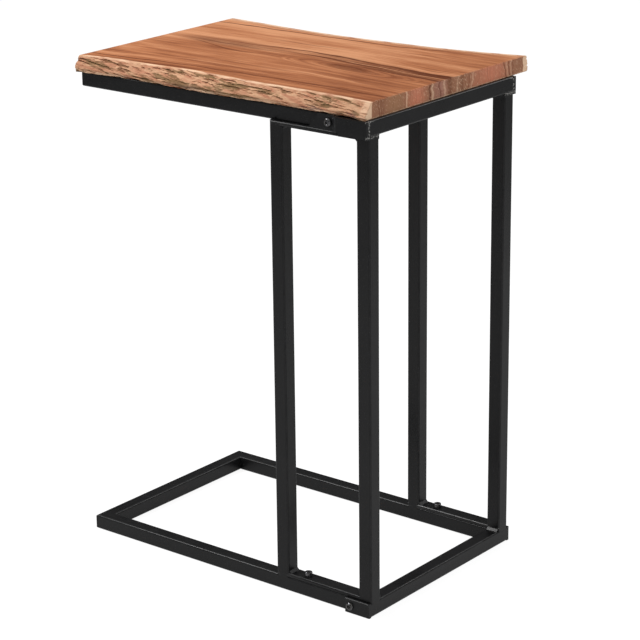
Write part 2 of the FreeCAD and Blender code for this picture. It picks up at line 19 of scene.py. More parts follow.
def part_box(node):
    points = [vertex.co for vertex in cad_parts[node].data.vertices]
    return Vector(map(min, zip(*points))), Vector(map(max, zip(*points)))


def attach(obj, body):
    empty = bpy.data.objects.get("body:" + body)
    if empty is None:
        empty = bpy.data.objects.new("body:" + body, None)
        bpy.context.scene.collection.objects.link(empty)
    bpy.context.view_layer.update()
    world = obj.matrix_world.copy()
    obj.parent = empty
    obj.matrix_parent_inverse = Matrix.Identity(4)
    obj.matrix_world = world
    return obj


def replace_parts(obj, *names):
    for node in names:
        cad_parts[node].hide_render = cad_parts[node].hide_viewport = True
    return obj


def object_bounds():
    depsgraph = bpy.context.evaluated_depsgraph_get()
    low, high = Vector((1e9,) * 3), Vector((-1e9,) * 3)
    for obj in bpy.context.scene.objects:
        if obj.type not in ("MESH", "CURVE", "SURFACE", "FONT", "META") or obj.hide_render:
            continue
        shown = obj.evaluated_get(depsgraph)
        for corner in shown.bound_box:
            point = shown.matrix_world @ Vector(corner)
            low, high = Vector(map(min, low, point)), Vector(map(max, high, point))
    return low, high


bl_info = {
    "name": "C Shaped Side Table",
    "version": (1, 0, 0),
    "blender": (4, 5, 0),
    "location": "View3D > Sidebar > Side Table",
    "description": "Slab, bolts, welds and finishes of a C shaped side table, on its packed frame",
    "category": "Object",
}

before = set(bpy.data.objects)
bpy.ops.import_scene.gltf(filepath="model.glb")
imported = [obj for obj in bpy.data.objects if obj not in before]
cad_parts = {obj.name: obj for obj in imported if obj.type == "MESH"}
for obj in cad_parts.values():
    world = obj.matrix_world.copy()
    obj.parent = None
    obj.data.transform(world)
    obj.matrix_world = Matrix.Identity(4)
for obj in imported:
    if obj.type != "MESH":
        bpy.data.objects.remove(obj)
CAD_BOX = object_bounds()

MM = 0.001
BODY = "root"
UP = Vector((0, 0, 1))


def of_both_frames(kind, sides=("front", "back")):
    """The nodes of one kind in the top frame and in the base frame."""
    return [f"{level}_{side}_{kind}" for level in ("top", "base") for side in sides]


# Nodes of the frame by the way their tube, bar or lug runs.
BARS = of_both_frames("bar")
ALONG_SLAB = of_both_frames("rail") + BARS + of_both_frames("lug")
ACROSS_SLAB = of_both_frames("rail", ("open", "end"))
POSTS = [f"{side}_{place}_post" for side in ("front", "back") for place in ("mid", "corner")]


def shade(red, green, blue):
    """A colour written as it looks on a screen, from 0 to 255, as the light values that Blender works in."""

    def light(level):
        level /= 255
        return level / 12.92 if level <= 0.04045 else ((level + 0.055) / 1.055) ** 2.4

    return (light(red), light(green), light(blue))


def smooth(low, high, value):
    """0 below low, 1 above high and a smooth rise between them, for numbers or arrays."""
    share = np.clip((value - low) / (high - low), 0, 1)
    return share * share * (3 - 2 * share)


# ---- settings


def length(name, description, default):
    """A length, given in millimetres."""
    return FloatProperty(
        name=name, description=description, default=default * MM, min=0, unit="LENGTH", precision=5
    )


def share(name, description, default):
    return FloatProperty(name=name, description=description, default=default, min=0, max=1, subtype="FACTOR")


def angle(name, description, default):
    """An angle, given in degrees."""
    return FloatProperty(
        name=name, description=description, default=math.radians(default), subtype="ANGLE"
    )


def colour(name, description, *levels):
    """A colour, given as it looks on a screen."""
    return FloatVectorProperty(
        name=name, description=description, default=shade(*levels), size=3, min=0, max=1, subtype="COLOR"
    )


class SlabSettings(bpy.types.PropertyGroup):
    pitch: length("Station Pitch", "Distance between the slab's sections along its length", 1.0)
    ease: length("Eased Edge", "Radius of the slab's sanded edges", 0.9)
    hollow_depth: length("Hollow Depth", "Depth of the tool hollows in the two natural edges", 1.5)
    hollow_run: length("Hollow Length", "Usual length of a tool hollow", 17.0)
    hollow_tall: length("Hollow Height", "Usual height of a tool hollow", 1.9)
    hollow_fall: share("Hollow Fall", "How far a hollow falls towards the closed end, for its length", 0.1)
    swell: length("Swell", "How far the front edge's corners stand out past the packed slab's", 2.6)
    flare: length("Flare", "How far the foot of the front edge flares out at the closed end", 8.0)
    flare_run: length("Flare Length", "How much of the slab's length flares out", 34.0)
    seed: IntProperty(name="Seed", description="Which set of hollows is cut", default=7)
    heartwood: colour("Heartwood", "Wood of the slab's faces", 184, 117, 77)
    # Also the colour of the painted glints along the grain of the faces.
    pale_grain: colour("Pale Grain", "Lightest bands of the grain", 218, 154, 112)
    dark_grain: colour("Dark Grain", "Darkest bands of the grain", 142, 82, 50)
    streak: colour("Streak", "Dark streaks of the heart", 90, 37, 6)
    sapwood: colour("Sapwood", "Outer wood at the natural edges", 216, 168, 132)
    # Also the colour of the partly painted highlight along the foot of the sawn ends.
    arris: colour("Arris", "Palest wood, along the corners of the natural edges", 246, 208, 174)
    sap_shadow: colour("Sapwood Shadow", "Pinker patches of the outer wood", 196, 137, 106)
    hollow_brown: colour("Hollow Brown", "Old wood left in the hollows", 118, 72, 44)
    hollow_olive: colour("Hollow Olive", "Weathered wood left in the hollows", 120, 94, 58)
    hollow_mauve: colour("Hollow Mauve", "Bruised wood low on the edges", 142, 106, 106)
    end_brown: colour("End Brown", "Sawn ends", 168, 118, 90)
    end_olive: colour("End Olive", "Greenest band of the sawn ends", 170, 124, 92)
    end_rose: colour("End Rose", "Reddest bands of the sawn ends", 212, 134, 104)
    end_mauve: colour("End Mauve", "Greyest band of the sawn ends", 178, 126, 108)


class CoatSettings(bpy.types.PropertyGroup):
    colour: colour("Coat", "Powder coat of the frame", 15, 15, 16)
    roughness: share("Roughness", "Roughness of the powder coat", 0.3)
    peel: length("Orange Peel", "Width of the ripples in the powder coat", 1.3)


class BoltSettings(bpy.types.PropertyGroup):
    socket: length("Socket", "Hexagon socket across its flats", 4.0)
    socket_deep: length("Socket Depth", "Depth of the hexagon socket", 2.0)
    cap_round: length("Cap Rim", "Radius of the rim of a cap head", 1.1)
    seed: IntProperty(name="Seed", description="How the bolts' sockets are turned", default=3)
    colour: colour("Oxide", "Black oxide of the bolts", 106, 106, 109)


class WeldSettings(bpy.types.PropertyGroup):
    leg: length("Fillet Leg", "How far a weld reaches along each of the two faces that it joins", 3.0)
    pitch: length("Ripple Pitch", "Distance between the ripples of a bead", 1.5)
    ripple: share("Ripple Depth", "Height of the ripples as a share of the weld", 0.05)
    bar_round: length("Bar Corner", "Radius that the bars' free corners were ground to", 2.3)
    proud: length("Ground Weld", "How far a ground weld stands from the faces that it joins", 0.03)
    deep: length("Ground Depth", "How deep a ground weld fills the corners between its faces", 1.5)
    seed: IntProperty(name="Seed", description="Unevenness of the welds", default=5)


class StageSettings(bpy.types.PropertyGroup):
    azimuth: angle("Azimuth", "Camera round the table, from straight in front to the closed end", 38.59)
    elevation: angle("Elevation", "Camera above the level", 18.26)
    roll: angle("Roll", "Turn of the camera about its own line of sight", -0.64)
    distance: length("Distance", "Camera from the point that it looks at", 3022.04)
    aim: FloatVectorProperty(
        name="Aim",
        description="Point that the camera is turned about",
        default=(-0.030, -0.01145, 0.3),
        unit="LENGTH",
    )
    aside: FloatVectorProperty(
        name="Aside",
        description="Camera beside and above its line through the aim",
        size=2,
        default=(0.05139, -0.00781),
        unit="LENGTH",
    )
    lens: FloatProperty(name="Lens", description="Focal length in millimetres", default=131.511)
    floor: colour("Floor", "Floor and backdrop", 232, 232, 232)


# ---- writing node trees


def joined(operation):
    """A method that joins two numbers by one Math node."""
    return lambda first, second: first.nodes.math(operation, first, second)


class Varying:
    """A number that changes over a surface or along a curve. Arithmetic on it adds Math nodes to its tree."""

    def __init__(self, nodes, socket):
        self.nodes = nodes
        self.socket = socket

    __add__ = __radd__ = joined("ADD")
    __mul__ = __rmul__ = joined("MULTIPLY")
    __sub__ = joined("SUBTRACT")
    __truediv__ = joined("DIVIDE")
    __pow__ = joined("POWER")
    least = joined("MINIMUM")
    most = joined("MAXIMUM")

    def __rsub__(self, other):
        return self.nodes.math("SUBTRACT", other, self)

    def __abs__(self):
        return self.nodes.math("ABSOLUTE", self)

    def rise(self, low, high):
        """0 below low, 1 above high and a smooth rise between; low may be the higher one, for a fall."""
        sockets = {"Value": self, "From Min": low, "From Max": high}
        made = self.nodes.node("ShaderNodeMapRange", {"interpolation_type": "SMOOTHSTEP"}, sockets)
        return Varying(self.nodes, made.outputs["Result"])

    def band(self, middle, half):
        """1 where the number is middle, falling to 0 at half on both sides."""
        return abs(self - middle).rise(half, 0)

    def bands(self, *bands):
        """Bands added up, each with its middle, its reach to both sides and its strength."""
        return sum(self.band(middle, half) * strength for middle, half, strength in bands)


class Nodes:
    """A node tree while it is written."""

    def __init__(self, tree):
        self.tree = tree

    def node(self, kind, settings=None, sockets=None):
        """Adds a node: its settings first, then the values or links of its sockets, by name or number."""
        made = self.tree.nodes.new(kind)
        for name, value in (settings or {}).items():
            setattr(made, name, value)
        for key, value in (sockets or {}).items():
            self.feed(made.inputs[key], value)
        return made

    def feed(self, socket, value):
        """Sets a socket, or links it to another socket, to a varying number or to a node's first output."""
        if isinstance(value, Varying):
            value = value.socket
        elif isinstance(value, bpy.types.Node):
            value = value.outputs[0]
        if isinstance(value, bpy.types.NodeSocket):
            self.tree.links.new(value, socket)
        elif socket.type == "RGBA":
            socket.default_value = (*value[:3], 1)
        else:
            socket.default_value = value

    def math(self, operation, *values):
        made = self.node("ShaderNodeMath", {"operation": operation}, dict(enumerate(values)))
        return Varying(self, made.outputs[0])


class Recipe(Nodes):
    """A material or a world while its nodes are written."""

    def __init__(self, holder):
        holder.use_nodes = True
        holder.node_tree.nodes.clear()
        super().__init__(holder.node_tree)
        self.holder = holder

    def mix(self, factor, first, second):
        """Two colours mixed by a number."""
        settings = {"data_type": "RGBA", "blend_type": "MIX", "clamp_factor": True}
        return self.node("ShaderNodeMix", settings, {0: factor, 6: first, 7: second}).outputs[2]

    def mix_shaders(self, factor, first, second):
        return self.node("ShaderNodeMixShader", None, {0: factor, 1: first, 2: second})

    def ray(self, kind):
        """1 for rays of one kind, such as those that the camera sees directly."""
        return Varying(self, self.node("ShaderNodeLightPath").outputs[f"Is {kind} Ray"])

    def seen(self):
        """1 for what the camera sees, directly or in a reflection or through glass, and 0 for other light."""
        return self.ray("Camera").most(self.ray("Glossy")).most(self.ray("Transmission"))


class Finish(Recipe):
    """A material while it is written. Its x, y and z are the surface's own places in millimetres."""

    def __init__(self, name):
        super().__init__(bpy.data.materials.new(name))
        where = self.node("ShaderNodeTexCoord").outputs["Object"]
        larger = self.node("ShaderNodeVectorMath", {"operation": "SCALE"}, {0: where, "Scale": 1 / MM})
        self.x, self.y, self.z = self.split(larger)

    def split(self, vector):
        parts = self.node("ShaderNodeSeparateXYZ", None, {0: vector})
        return [Varying(self, parts.outputs[axis]) for axis in "XYZ"]

    def turned(self):
        """1 where the surface turns a corner between the X, Y and Z planes, and 0 on its flats."""
        normal = self.node("ShaderNodeNewGeometry").outputs["Normal"]
        along, across, up = (abs(part) for part in self.split(normal))
        return along.most(across).most(up).rise(0.985, 0.88)

    def attribute(self, name):
        made = self.node("ShaderNodeAttribute", {"attribute_name": name})
        return Varying(self, made.outputs["Fac"])

    def grain(self, x, y, z, detail=2.0, roughness=0.5):
        """Cloudy noise from 0 to 1 over three numbers."""
        at = self.node("ShaderNodeCombineXYZ", None, {"X": x, "Y": y, "Z": z})
        sockets = {"Vector": at, "Scale": 1.0, "Detail": detail, "Roughness": roughness}
        return Varying(self, self.node("ShaderNodeTexNoise", None, sockets).outputs["Fac"])

    def patches(self, size, detail=2.0, roughness=0.5):
        """Cloudy noise from 0 to 1 with patches of one size in every direction."""
        return self.grain(self.x / size, self.y / size, self.z / size, detail, roughness)

    def rows(self, along, detail=2.0, roughness=0.5):
        """Noise from 0 to 1 over one number."""
        sockets = {"W": along, "Scale": 1.0, "Detail": detail, "Roughness": roughness}
        made = self.node("ShaderNodeTexNoise", {"noise_dimensions": "1D"}, sockets)
        return Varying(self, made.outputs["Fac"])

    def ramp(self, value, stops):
        """A colour for each number, from pairs of a number and its colour."""
        made = self.node("ShaderNodeValToRGB", None, {"Fac": value})
        elements = made.color_ramp.elements
        while len(elements) < len(stops):
            elements.new(1.0)
        for element, (place, tone) in zip(elements, stops):
            element.position = place
            element.color = (*tone, 1)
        return made.outputs["Color"]

    def bump(self, height, depth):
        """A normal from a height of 0 to 1 that stands for a depth in metres."""
        made = self.node("ShaderNodeBump", None, {"Height": height, "Distance": depth, "Strength": 1.0})
        return made.outputs["Normal"]

    def surface(self, **sockets):
        """Ends the recipe with a shader; a socket's name is written with _ for its spaces."""
        named = {name.replace("_", " "): value for name, value in sockets.items()}
        shader = self.node("ShaderNodeBsdfPrincipled", None, named)
        self.node("ShaderNodeOutputMaterial", None, {"Surface": shader})
        return self.holder


# ---- finishes


class OiledWood(Finish):
    """Acacia under oil: streaked faces, pale sapwood with gouged hollows at the edges, and banded sawn ends.

    Places along the slab and across its grain are in millimetres.
    """

    KNOT_X = 92
    SAPWOOD_FRONT = -151
    SAPWOOD_REAR = 158

    def __init__(self, look):
        super().__init__("oiled_wood")
        self.look = look
        x, y, z = self.x, self.y, self.z
        low, high = (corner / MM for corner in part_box("slab"))
        self.from_top = high.z - z
        self.above_foot = z - low.z
        self.from_closed_end = high.x - x
        self.from_end = self.from_closed_end.least(x - low.x)
        notes = (self.attribute(name) for name in SlabShell.NOTES)
        self.front_in, self.rear_in, self.hollow, self.sawn = notes

        # The grain's own coordinate: across the slab, drawn forwards at the closed end, bowed near the front
        # edge and leaning through the thickness.
        drawn = 22 * x.rise(10, 240) * y.band(-15, 120)
        bow = 12 * ((x - 100) / 304) ** 2 * y.rise(-60, -120)
        wide_waves = self.grain(x / 160, y / 60, z / 60) - 0.5
        small_waves = self.grain(x / 36, y / 12, z / 12) - 0.5
        self.wander = 17 * wide_waves + 6 * small_waves
        self.lean = (self.rows(y / 34, 0) - 0.5) * 2 * self.from_top
        self.ring = y + drawn + bow + self.wander + self.lean
        self.wave = 7 * (self.grain(z / 9, y / 40, x / 9, 1) - 0.5)
        self.board = y + self.wander * 0.4 + self.lean * 0.5 + self.wave

        self.fibre = self.grain(x / 60, self.ring / 1.1, z / 6, 3, 0.6)
        self.hair = self.grain(x / 10, self.ring / 0.4, z / 3, 2)
        self.pores = self.patches(0.6, 1).rise(0.62, 0.75)
        self.end_lines = self.rows(self.board / 2.4, 3, 0.7)

    def oval(self, x, ring, long, wide):
        """How far a place lies from the middle of an oval, squared, with 1 on the oval's rim."""
        return ((self.x - x) / long) ** 2 + ((self.ring - ring) / wide) ** 2

    def plain_face(self):
        """The faces' grain, with an oval figure round a knot in place of its straight lines."""
        x, y, z, ring, look = self.x, self.y, self.z, self.ring, self.look
        figure = self.oval(self.KNOT_X, -16, 116, 25) ** 0.5
        straight = self.grain(x / 90, ring / 3.2, z / 24, 2, 0.6)
        round_knot = self.rows(figure * 8.5 + self.wander / 6, 1)
        narrow = straight + (round_knot - straight) * figure.rise(1.1, 0.8)
        broad = self.rows(ring / 22, 1)
        cloud = self.grain(x / 130, y / 40, z / 45, 2)
        # Paler towards the rear and the open end: partly the wood's own tone, partly a painted sheen.
        rear_tone_and_sheen = (y - x / 2.4) / 900
        tone = 0.53 + rear_tone_and_sheen + (broad - 0.5) * 0.75 + (narrow - 0.5) + (cloud - 0.5) * 0.9
        tone = tone + (self.fibre - 0.5) * 0.5 + (self.hair - 0.5) * 0.14
        pale_middle = ring.band(46, 34) * x.band(0, 150)
        # Darker towards the front, except near the closed end: partly the wood's own tone, partly painted
        # shade.
        front_tone_and_shade = ring.rise(0, -40) * x.rise(150, 60)
        tone = tone + pale_middle * 0.3 - front_tone_and_shade * 0.07
        return self.ramp(tone, [(0.16, look.dark_grain), (0.5, look.heartwood), (0.84, look.pale_grain)])

    def streaked_face(self):
        """The faces with the heart's bundle of lines, a smear where it starts, the knot, single dark lines
        and painted glints.
        """
        x, z, ring, look = self.x, self.z, self.ring, self.look
        crisp = self.grain(x / 110, ring / 1.8, z / 14, 2, 0.5).rise(0.42, 0.6)
        coarse = self.grain(x / 150, ring / 4.2, z / 20, 1, 0.5).rise(0.4, 0.58)
        uneven = 0.45 + self.grain(x / 46, ring / 3.4, z / 20, 3, 0.6)
        heart = ring.rise(-5, 6) * ring.rise(35, 25) * x.rise(-80, 120) * (0.35 + coarse * 0.6)
        smear = self.oval(-122, 14, 104, 21).rise(1.2, 0) * (0.36 + crisp * 0.44)
        knot = self.oval(self.KNOT_X, -15, 42, 15).rise(1.3, 0.1) * (0.42 + crisp * 0.4)
        curved = ring + 22 * x.rise(-190, -90) - 14 * x.rise(-80, -10)
        rear_rim = ring - 30 * x.rise(40, 230)

        # Each line with the stretch of the slab where it shows, and its strength.
        dark_lines = [
            (ring.band(28, 2.8), x.rise(-110, -30), 1.3),
            (ring.band(14, 3.4), x.rise(-60, 60), 1.3),
            (ring.band(2, 2.2), x.rise(60, 120), 1.0),
            (ring.band(-74, 2.2), x.band(-20, 110), 0.6),
            (curved.band(4, 2.6), x.band(-110, 96), 1.0),
            (ring.band(-118, 2.3), 1.0, 1.2),
            (rear_rim.band(113, 2.6), x.rise(210, 60), 1.2),
            (ring.band(61, 2.6), x.band(-40, 90), 0.72),
            (ring.band(-131, 2.4), x.band(-100, 170), 1.08),
        ]
        # Pale lines along the grain, painted as glints of light on the oiled faces.
        glint_lines = [
            ((ring + x / 22).band(-68, 4), x.band(90, 110), 1.3),
            (ring.band(38, 3.4), x.rise(-90, 0), 1.0),
            (ring.band(-90, 3), x.band(-62, 90), 1.0),
            (ring.band(15, 1.8), x.rise(20, 90), 1.4),
        ]
        dark, pale = (
            sum(line * stretch * strength for line, stretch, strength in lines) * uneven
            for lines in (dark_lines, glint_lines)
        )
        face = self.mix((heart + smear + knot + dark).least(1) * 0.94, self.plain_face(), look.streak)
        # The glint lines are painted highlights in the pale grain's colour.
        return self.mix(pale * 0.8, face, look.pale_grain)

    def sawn_end(self):
        """Bands of brown, olive, rose and mauve wood, crossed by pale rays and dotted with pores, over a pale
        foot that is partly a painted highlight.
        """
        x, y, z, board, look = self.x, self.y, self.z, self.board, self.look
        end = self.mix(board.band(-106, 24), look.end_brown, look.end_olive)
        end = self.mix(board.band(-64, 30) + board.band(88, 60), end, look.end_rose)
        end = self.mix(board.band(-18, 24), end, look.end_mauve)
        dark = board.bands((-38, 2.6, 0.7), (-21, 4, 0.5), (3, 9, 0.6), (-134, 22, 0.3), (28, 5, 0.4))
        dark = dark + board.bands((44, 3, 0.4), (116, 2.4, 0.5), (126, 2.4, 0.5), (136, 2.4, 0.5))
        end = self.mix(dark + (0.47 - self.end_lines) * 1.6, end, look.streak)
        pale = board.bands((-84, 2.2, 1.0), (-33, 3, 0.8), (-10, 4, 0.6), (20, 2.4, 0.5))
        pale = pale + board.bands((52, 2.6, 0.6), (121, 2.4, 0.5), (131, 2.4, 0.5))
        rays = self.grain((y + z) / 1.4, (y - z) / 9, x / 9, 2).rise(0.56, 0.7)
        end = self.mix(pale * 0.7 + rays * (0.4 + board.band(24, 24) * 0.5), end, look.arris)
        flecks = self.grain((y - z) / 1.7, (y + z) / 4, x / 9, 2).rise(0.56, 0.7)
        end = self.mix(self.pores * 0.3 + flecks * board.band(0, 110) * 0.45, end, look.streak)
        # A pale band along the sawn end's foot: partly pale wood, partly a painted highlight on the eased
        # lower edge.
        pale_foot_and_highlight = self.above_foot.rise(2.4, 0.6) * self.grain(y / 3, z / 2, x / 9, 2).rise(0.3, 0.6)
        return self.mix(pale_foot_and_highlight * 0.75, end, look.arris)

    def sapwood(self, body, inwards):
        """Lays outer wood under the two natural edges, with a straight border on the sawn ends."""
        x, y, z, look, sawn = self.x, self.y, self.z, self.look, self.sawn
        thick = 1.4 + (1 - sawn) * 3 * (self.grain(x / 50, y / 9, z / 9) - 0.5)
        front_border = (self.SAPWOOD_FRONT - y + self.wave * 0.3).rise(-0.8, 0.6)
        rear_border = (y - self.SAPWOOD_REAR + self.wave).rise(-1, 1)
        border = (front_border + rear_border) * sawn
        patches = self.grain(x / 24, (z + x / 7) / 3.4, y / 9, 3).rise(0.4, 0.62)
        outer = self.mix(patches, look.sapwood, look.sap_shadow)
        outer = self.mix(border, outer, look.arris)
        return self.mix((inwards - thick).rise(1.3, -0.5).most(border), body, outer)

    def weathered_edge(self, body, inwards, edge):
        """Leaves strokes of old wood in the hollows, bruises low down, and pale corners."""
        x, y, z, look, sawn = self.x, self.y, self.z, self.look, self.sawn
        falling = z + x * look.hollow_fall
        strokes = self.grain(x / 13, falling / 0.9, y / 6, 3, 0.55)
        colony = self.grain(x / 44, falling / 6.5, y / 12, 1)
        fewer = 0.16 * x.rise(-60, 90)
        soil = self.hollow * 0.62 + (strokes - 0.5) * 1.9 + (colony - 0.5) * 2.8 - fewer
        soil = soil.rise(0.1, 0.58) * 0.84
        low_down = self.above_foot.rise(10, 2) * self.grain(x / 60, z / 30, y / 30, 1).rise(0.45, 0.62)
        soil_tone = self.mix(colony.rise(0.44, 0.6), look.hollow_brown, look.hollow_olive)
        soil_tone = self.mix(low_down * 0.8, soil_tone, look.hollow_mauve)
        below_arris = self.from_top.rise(1.2, 2.6)
        body = self.mix(low_down * edge * x.band(-30, 110) * 0.55, body, look.hollow_mauve)
        clean = self.from_closed_end.rise(12, 7) * (0.6 + 0.4 * (1 - colony.rise(0.4, 0.6)))
        body = self.mix(soil * edge * below_arris * (1 - clean), body, soil_tone)
        body = self.mix(clean * edge * (1 - sawn) * 0.6, body, look.arris)
        upper_corner = self.from_top.rise(1.8, 0.8) * inwards.rise(2.2, 0.8)
        lower_corner = self.above_foot.rise(4, 1.8) * edge
        patchy = self.grain(x / 26, y / 8, z / 4, 2).rise(0.36, 0.6)
        return self.mix((upper_corner + lower_corner) * patchy * (1 - sawn) * 0.8, body, look.arris)

    def finished(self):
        x, y, z, ring, sawn = self.x, self.y, self.z, self.ring, self.sawn
        fringe = 3.4 * self.grain(y / 2.4, x / 9, z / 9, 1).rise(0.4, 0.75)
        torn_out = (self.from_end - fringe).rise(0.3, -0.3)
        body = self.mix(sawn.most(torn_out), self.streaked_face(), self.sawn_end())
        inwards = self.front_in.least(self.rear_in * 0.26)
        edge = inwards.rise(0.9, 0.1)
        body = self.weathered_edge(self.sapwood(body, inwards), inwards, edge)
        roughness = 0.46 + (self.fibre - 0.5) * 0.16 + edge * 0.22 + sawn * 0.12
        pits = self.grain(x / 5, ring / 0.35, z / 0.5, 2).rise(0.6, 0.72)
        torn = self.grain(x / 5, y / 1.5, z / 0.7, 3, 0.6)
        height = self.fibre * 0.35 + self.hair * 0.15 - pits * 0.3 + torn * edge * 2.6
        height = height + (self.end_lines * 0.4 - self.pores * 0.5) * sawn
        normal = self.bump(height, 0.12 * MM)
        return self.surface(Base_Color=body, Roughness=roughness, Normal=normal, Specular_IOR_Level=0.13)


def powder_coat(name, look, along):
    """Satin black powder coat with a fine orange peel, on steel drawn along one axis.

    Its rounded corners are lighter in patches, partly from wear and partly as a painted highlight. Rough
    near-white flecks, partly bare steel and partly painted glints, show where the welds at the closed end
    were ground flush.
    """
    coat = Finish(name)
    x, y, z = coat.x, coat.y, coat.z
    peel = coat.patches(look.peel / MM, 2)
    drawn = [place / (90 if axis == along else 1.6) for axis, place in enumerate((x, y, z))]
    streaks = coat.grain(*drawn, 2)
    cloud = coat.patches(70, 2)
    specks = coat.patches(1.1, 0).rise(0.74, 0.8)
    dust = coat.patches(16, 3).rise(0.5, 0.8)
    # Rounded corners lighter in patches: partly wear, partly a painted highlight along the edges.
    wear_and_edge_highlight = coat.turned() * coat.patches(14, 3).rise(0.2, 0.6)

    low, high = (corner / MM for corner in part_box("top_end_rail"))
    half_wide = (high.y - low.y) / 2
    off_middle = abs(y - (low.y + high.y) / 2)
    end_face = x.rise(high.x - 3, high.x - 0.6)
    upright_welds = off_middle.band(half_wide, 2.4) * z.rise(low.z - 4, low.z + 2)
    lower_welds = z.band(low.z - 0.5, 2.8) * off_middle.rise(half_wide - 21, half_wide - 17)
    upper_welds = z.band(high.z - 1.2, 1.6) * off_middle.rise(half_wide - 12, half_wide - 5)
    welds = upright_welds.most(lower_welds.most(upper_welds))
    # Near-white flecks at the ground welds of the closed end: partly bare steel, partly painted glints.
    flecks = coat.patches(2, 2, 0.7).rise(0.52, 0.6) * end_face * welds

    pale = tuple(2.6 * level for level in look.colour)
    tone = coat.mix((cloud - 0.5) * 0.8 + 0.2 + dust * 0.12, look.colour, pale)
    # Painted highlight, partly wear, on the rounded corners.
    tone = coat.mix(wear_and_edge_highlight * 0.45, tone, shade(46, 46, 47))
    tone = coat.mix(specks * 0.22, tone, shade(96, 96, 98))
    # The flecks' near-white is partly painted glint.
    tone = coat.mix(flecks * 0.9, tone, shade(206, 204, 200))
    roughness = look.roughness + (cloud - 0.5) * 0.16 + (streaks - 0.5) * 0.14 + dust * 0.1
    dull_seam = z.band(low.z, 3)
    roughness = roughness + specks * 0.1 - flecks * 0.15 + dull_seam * 0.14
    normal = coat.bump(peel * 0.7 + streaks * 0.3 + specks * 0.6 + flecks * 3, 0.035 * MM)
    return coat.surface(Base_Color=tone, Roughness=roughness, Specular_IOR_Level=0.24, Normal=normal)


def black_oxide(look):
    """Oiled black oxide on a steel bolt, browner where it is thin."""
    oxide = Finish("black_oxide")
    cloud = oxide.patches(3, 3)
    fine = oxide.patches(0.35, 2)
    thin = oxide.grain(oxide.x / 1.4 + 7, oxide.y / 1.4, oxide.z / 1.4, 2).rise(0.55, 0.75)
    tone = oxide.mix(cloud.rise(0.3, 0.7), look.colour, shade(64, 63, 62))
    tone = oxide.mix(thin * 0.35, tone, shade(168, 158, 144))
    roughness = 0.22 + (cloud - 0.5) * 0.16 + (fine - 0.5) * 0.1
    normal = oxide.bump(fine * 0.6 + cloud * 0.4, 0.03 * MM)
    return oxide.surface(Base_Color=tone, Metallic=0.85, Roughness=roughness, Normal=normal)


def zinc_plate():
    """Bright zinc plate with faint clouds of blue and yellow."""
    zinc = Finish("zinc_plate")
    cloud = zinc.patches(4, 3)
    fine = zinc.patches(0.3, 2)
    clouds = [(0.3, shade(188, 192, 200)), (0.5, shade(206, 206, 204)), (0.7, shade(214, 207, 186))]
    tone = zinc.ramp(cloud, clouds)
    roughness = 0.3 + (cloud - 0.5) * 0.2 + (fine - 0.5) * 0.1
    normal = zinc.bump(fine, 0.02 * MM)
    return zinc.surface(Base_Color=tone, Metallic=0.95, Roughness=roughness, Normal=normal)


def pale_floor(look):
    """A plain pale floor that keeps the table's shadow, white to the camera and a darker grey in reflections,
    which also see a painted fall-off of light away from the table and a faint painted contact shadow beside
    it.
    """
    floor = Finish("pale_floor")
    plain = floor.mix(floor.patches(300, 2), look.floor, shade(228, 228, 228))
    lit = floor.node("ShaderNodeBsdfDiffuse", None, {"Color": plain})
    shown = floor.node("ShaderNodeBsdfDiffuse", None, {"Color": shade(128, 128, 128)})
    out = (floor.x**2 + floor.y**2) ** 0.5
    # What reflections see of the floor is a darker grey: more so far from the table, as a painted fall-off of
    # light, and a little more right beside it, as a painted contact shadow.
    reflection_falloff_and_shadow = 0.36 + out.rise(1450, 2250) * 0.4 + out.rise(460, 260) * 0.04
    glow = floor.mix(reflection_falloff_and_shadow * (1 - floor.ray("Camera")), (1, 1, 1), (0, 0, 0))
    white = floor.node("ShaderNodeEmission", None, {"Color": glow, "Strength": 0.88})
    both = floor.node("ShaderNodeAddShader", None, {0: shown, 1: white})
    top = floor.mix_shaders(floor.seen(), lit, both)
    under = floor.node("ShaderNodeNewGeometry").outputs["Backfacing"]
    sheet = floor.mix_shaders(under, top, floor.node("ShaderNodeBsdfTransparent"))
    floor.node("ShaderNodeOutputMaterial", None, {"Surface": sheet})
    return floor.holder


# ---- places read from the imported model


def merged_copy(node):
    """A node's triangles as one joined mesh."""
    copy = bmesh.new()
    copy.from_mesh(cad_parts[node].data)
    bmesh.ops.remove_doubles(copy, verts=copy.verts, dist=MM / 1000)
    return copy


def solids_of(node):
    """The corner points of each separate solid of a node, in the order of the mesh's own corners."""
    copy = merged_copy(node)
    found = set()
    solids = []
    for start in copy.verts:
        if start in found:
            continue
        found.add(start)
        reached = [start]
        for corner in reached:
            beside = [edge.other_vert(corner) for edge in corner.link_edges]
            fresh = [other for other in beside if other not in found]
            found.update(fresh)
            reached.extend(fresh)
        solids.append(np.array([corner.co for corner in reached]))
    copy.free()
    return solids


class BoltPlace:
    """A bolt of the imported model: where the top of its head is, which way it faces, and its sizes."""

    CLOSE = 0.01 * MM

    def __init__(self, points):
        low, high = points.min(0), points.max(0)
        axis = int(np.argmax(high - low))
        middle = (low + high) / 2
        along = points[:, axis]
        out = np.linalg.norm(np.delete(points - middle, axis, axis=1), axis=1)
        rims = along[out > out.max() - self.CLOSE]
        way = 1 if rims.mean() > middle[axis] else -1
        top, foot = (high[axis], low[axis]) if way > 0 else (low[axis], high[axis])
        self.at = Vector(middle)
        self.at[axis] = top
        self.facing = Vector(way if place == axis else 0 for place in range(3))
        self.head_wide = 2 * out.max()
        self.head_tall = abs(top - rims).max()
        self.run = abs(top - foot)
        self.shank_wide = 2 * out[abs(along - foot) < self.CLOSE].max()


# ---- making pieces


def put_in_scene(name, data):
    """A new object for a mesh, a lamp or a camera."""
    made = bpy.data.objects.new(name, data)
    bpy.context.scene.collection.objects.link(made)
    return made


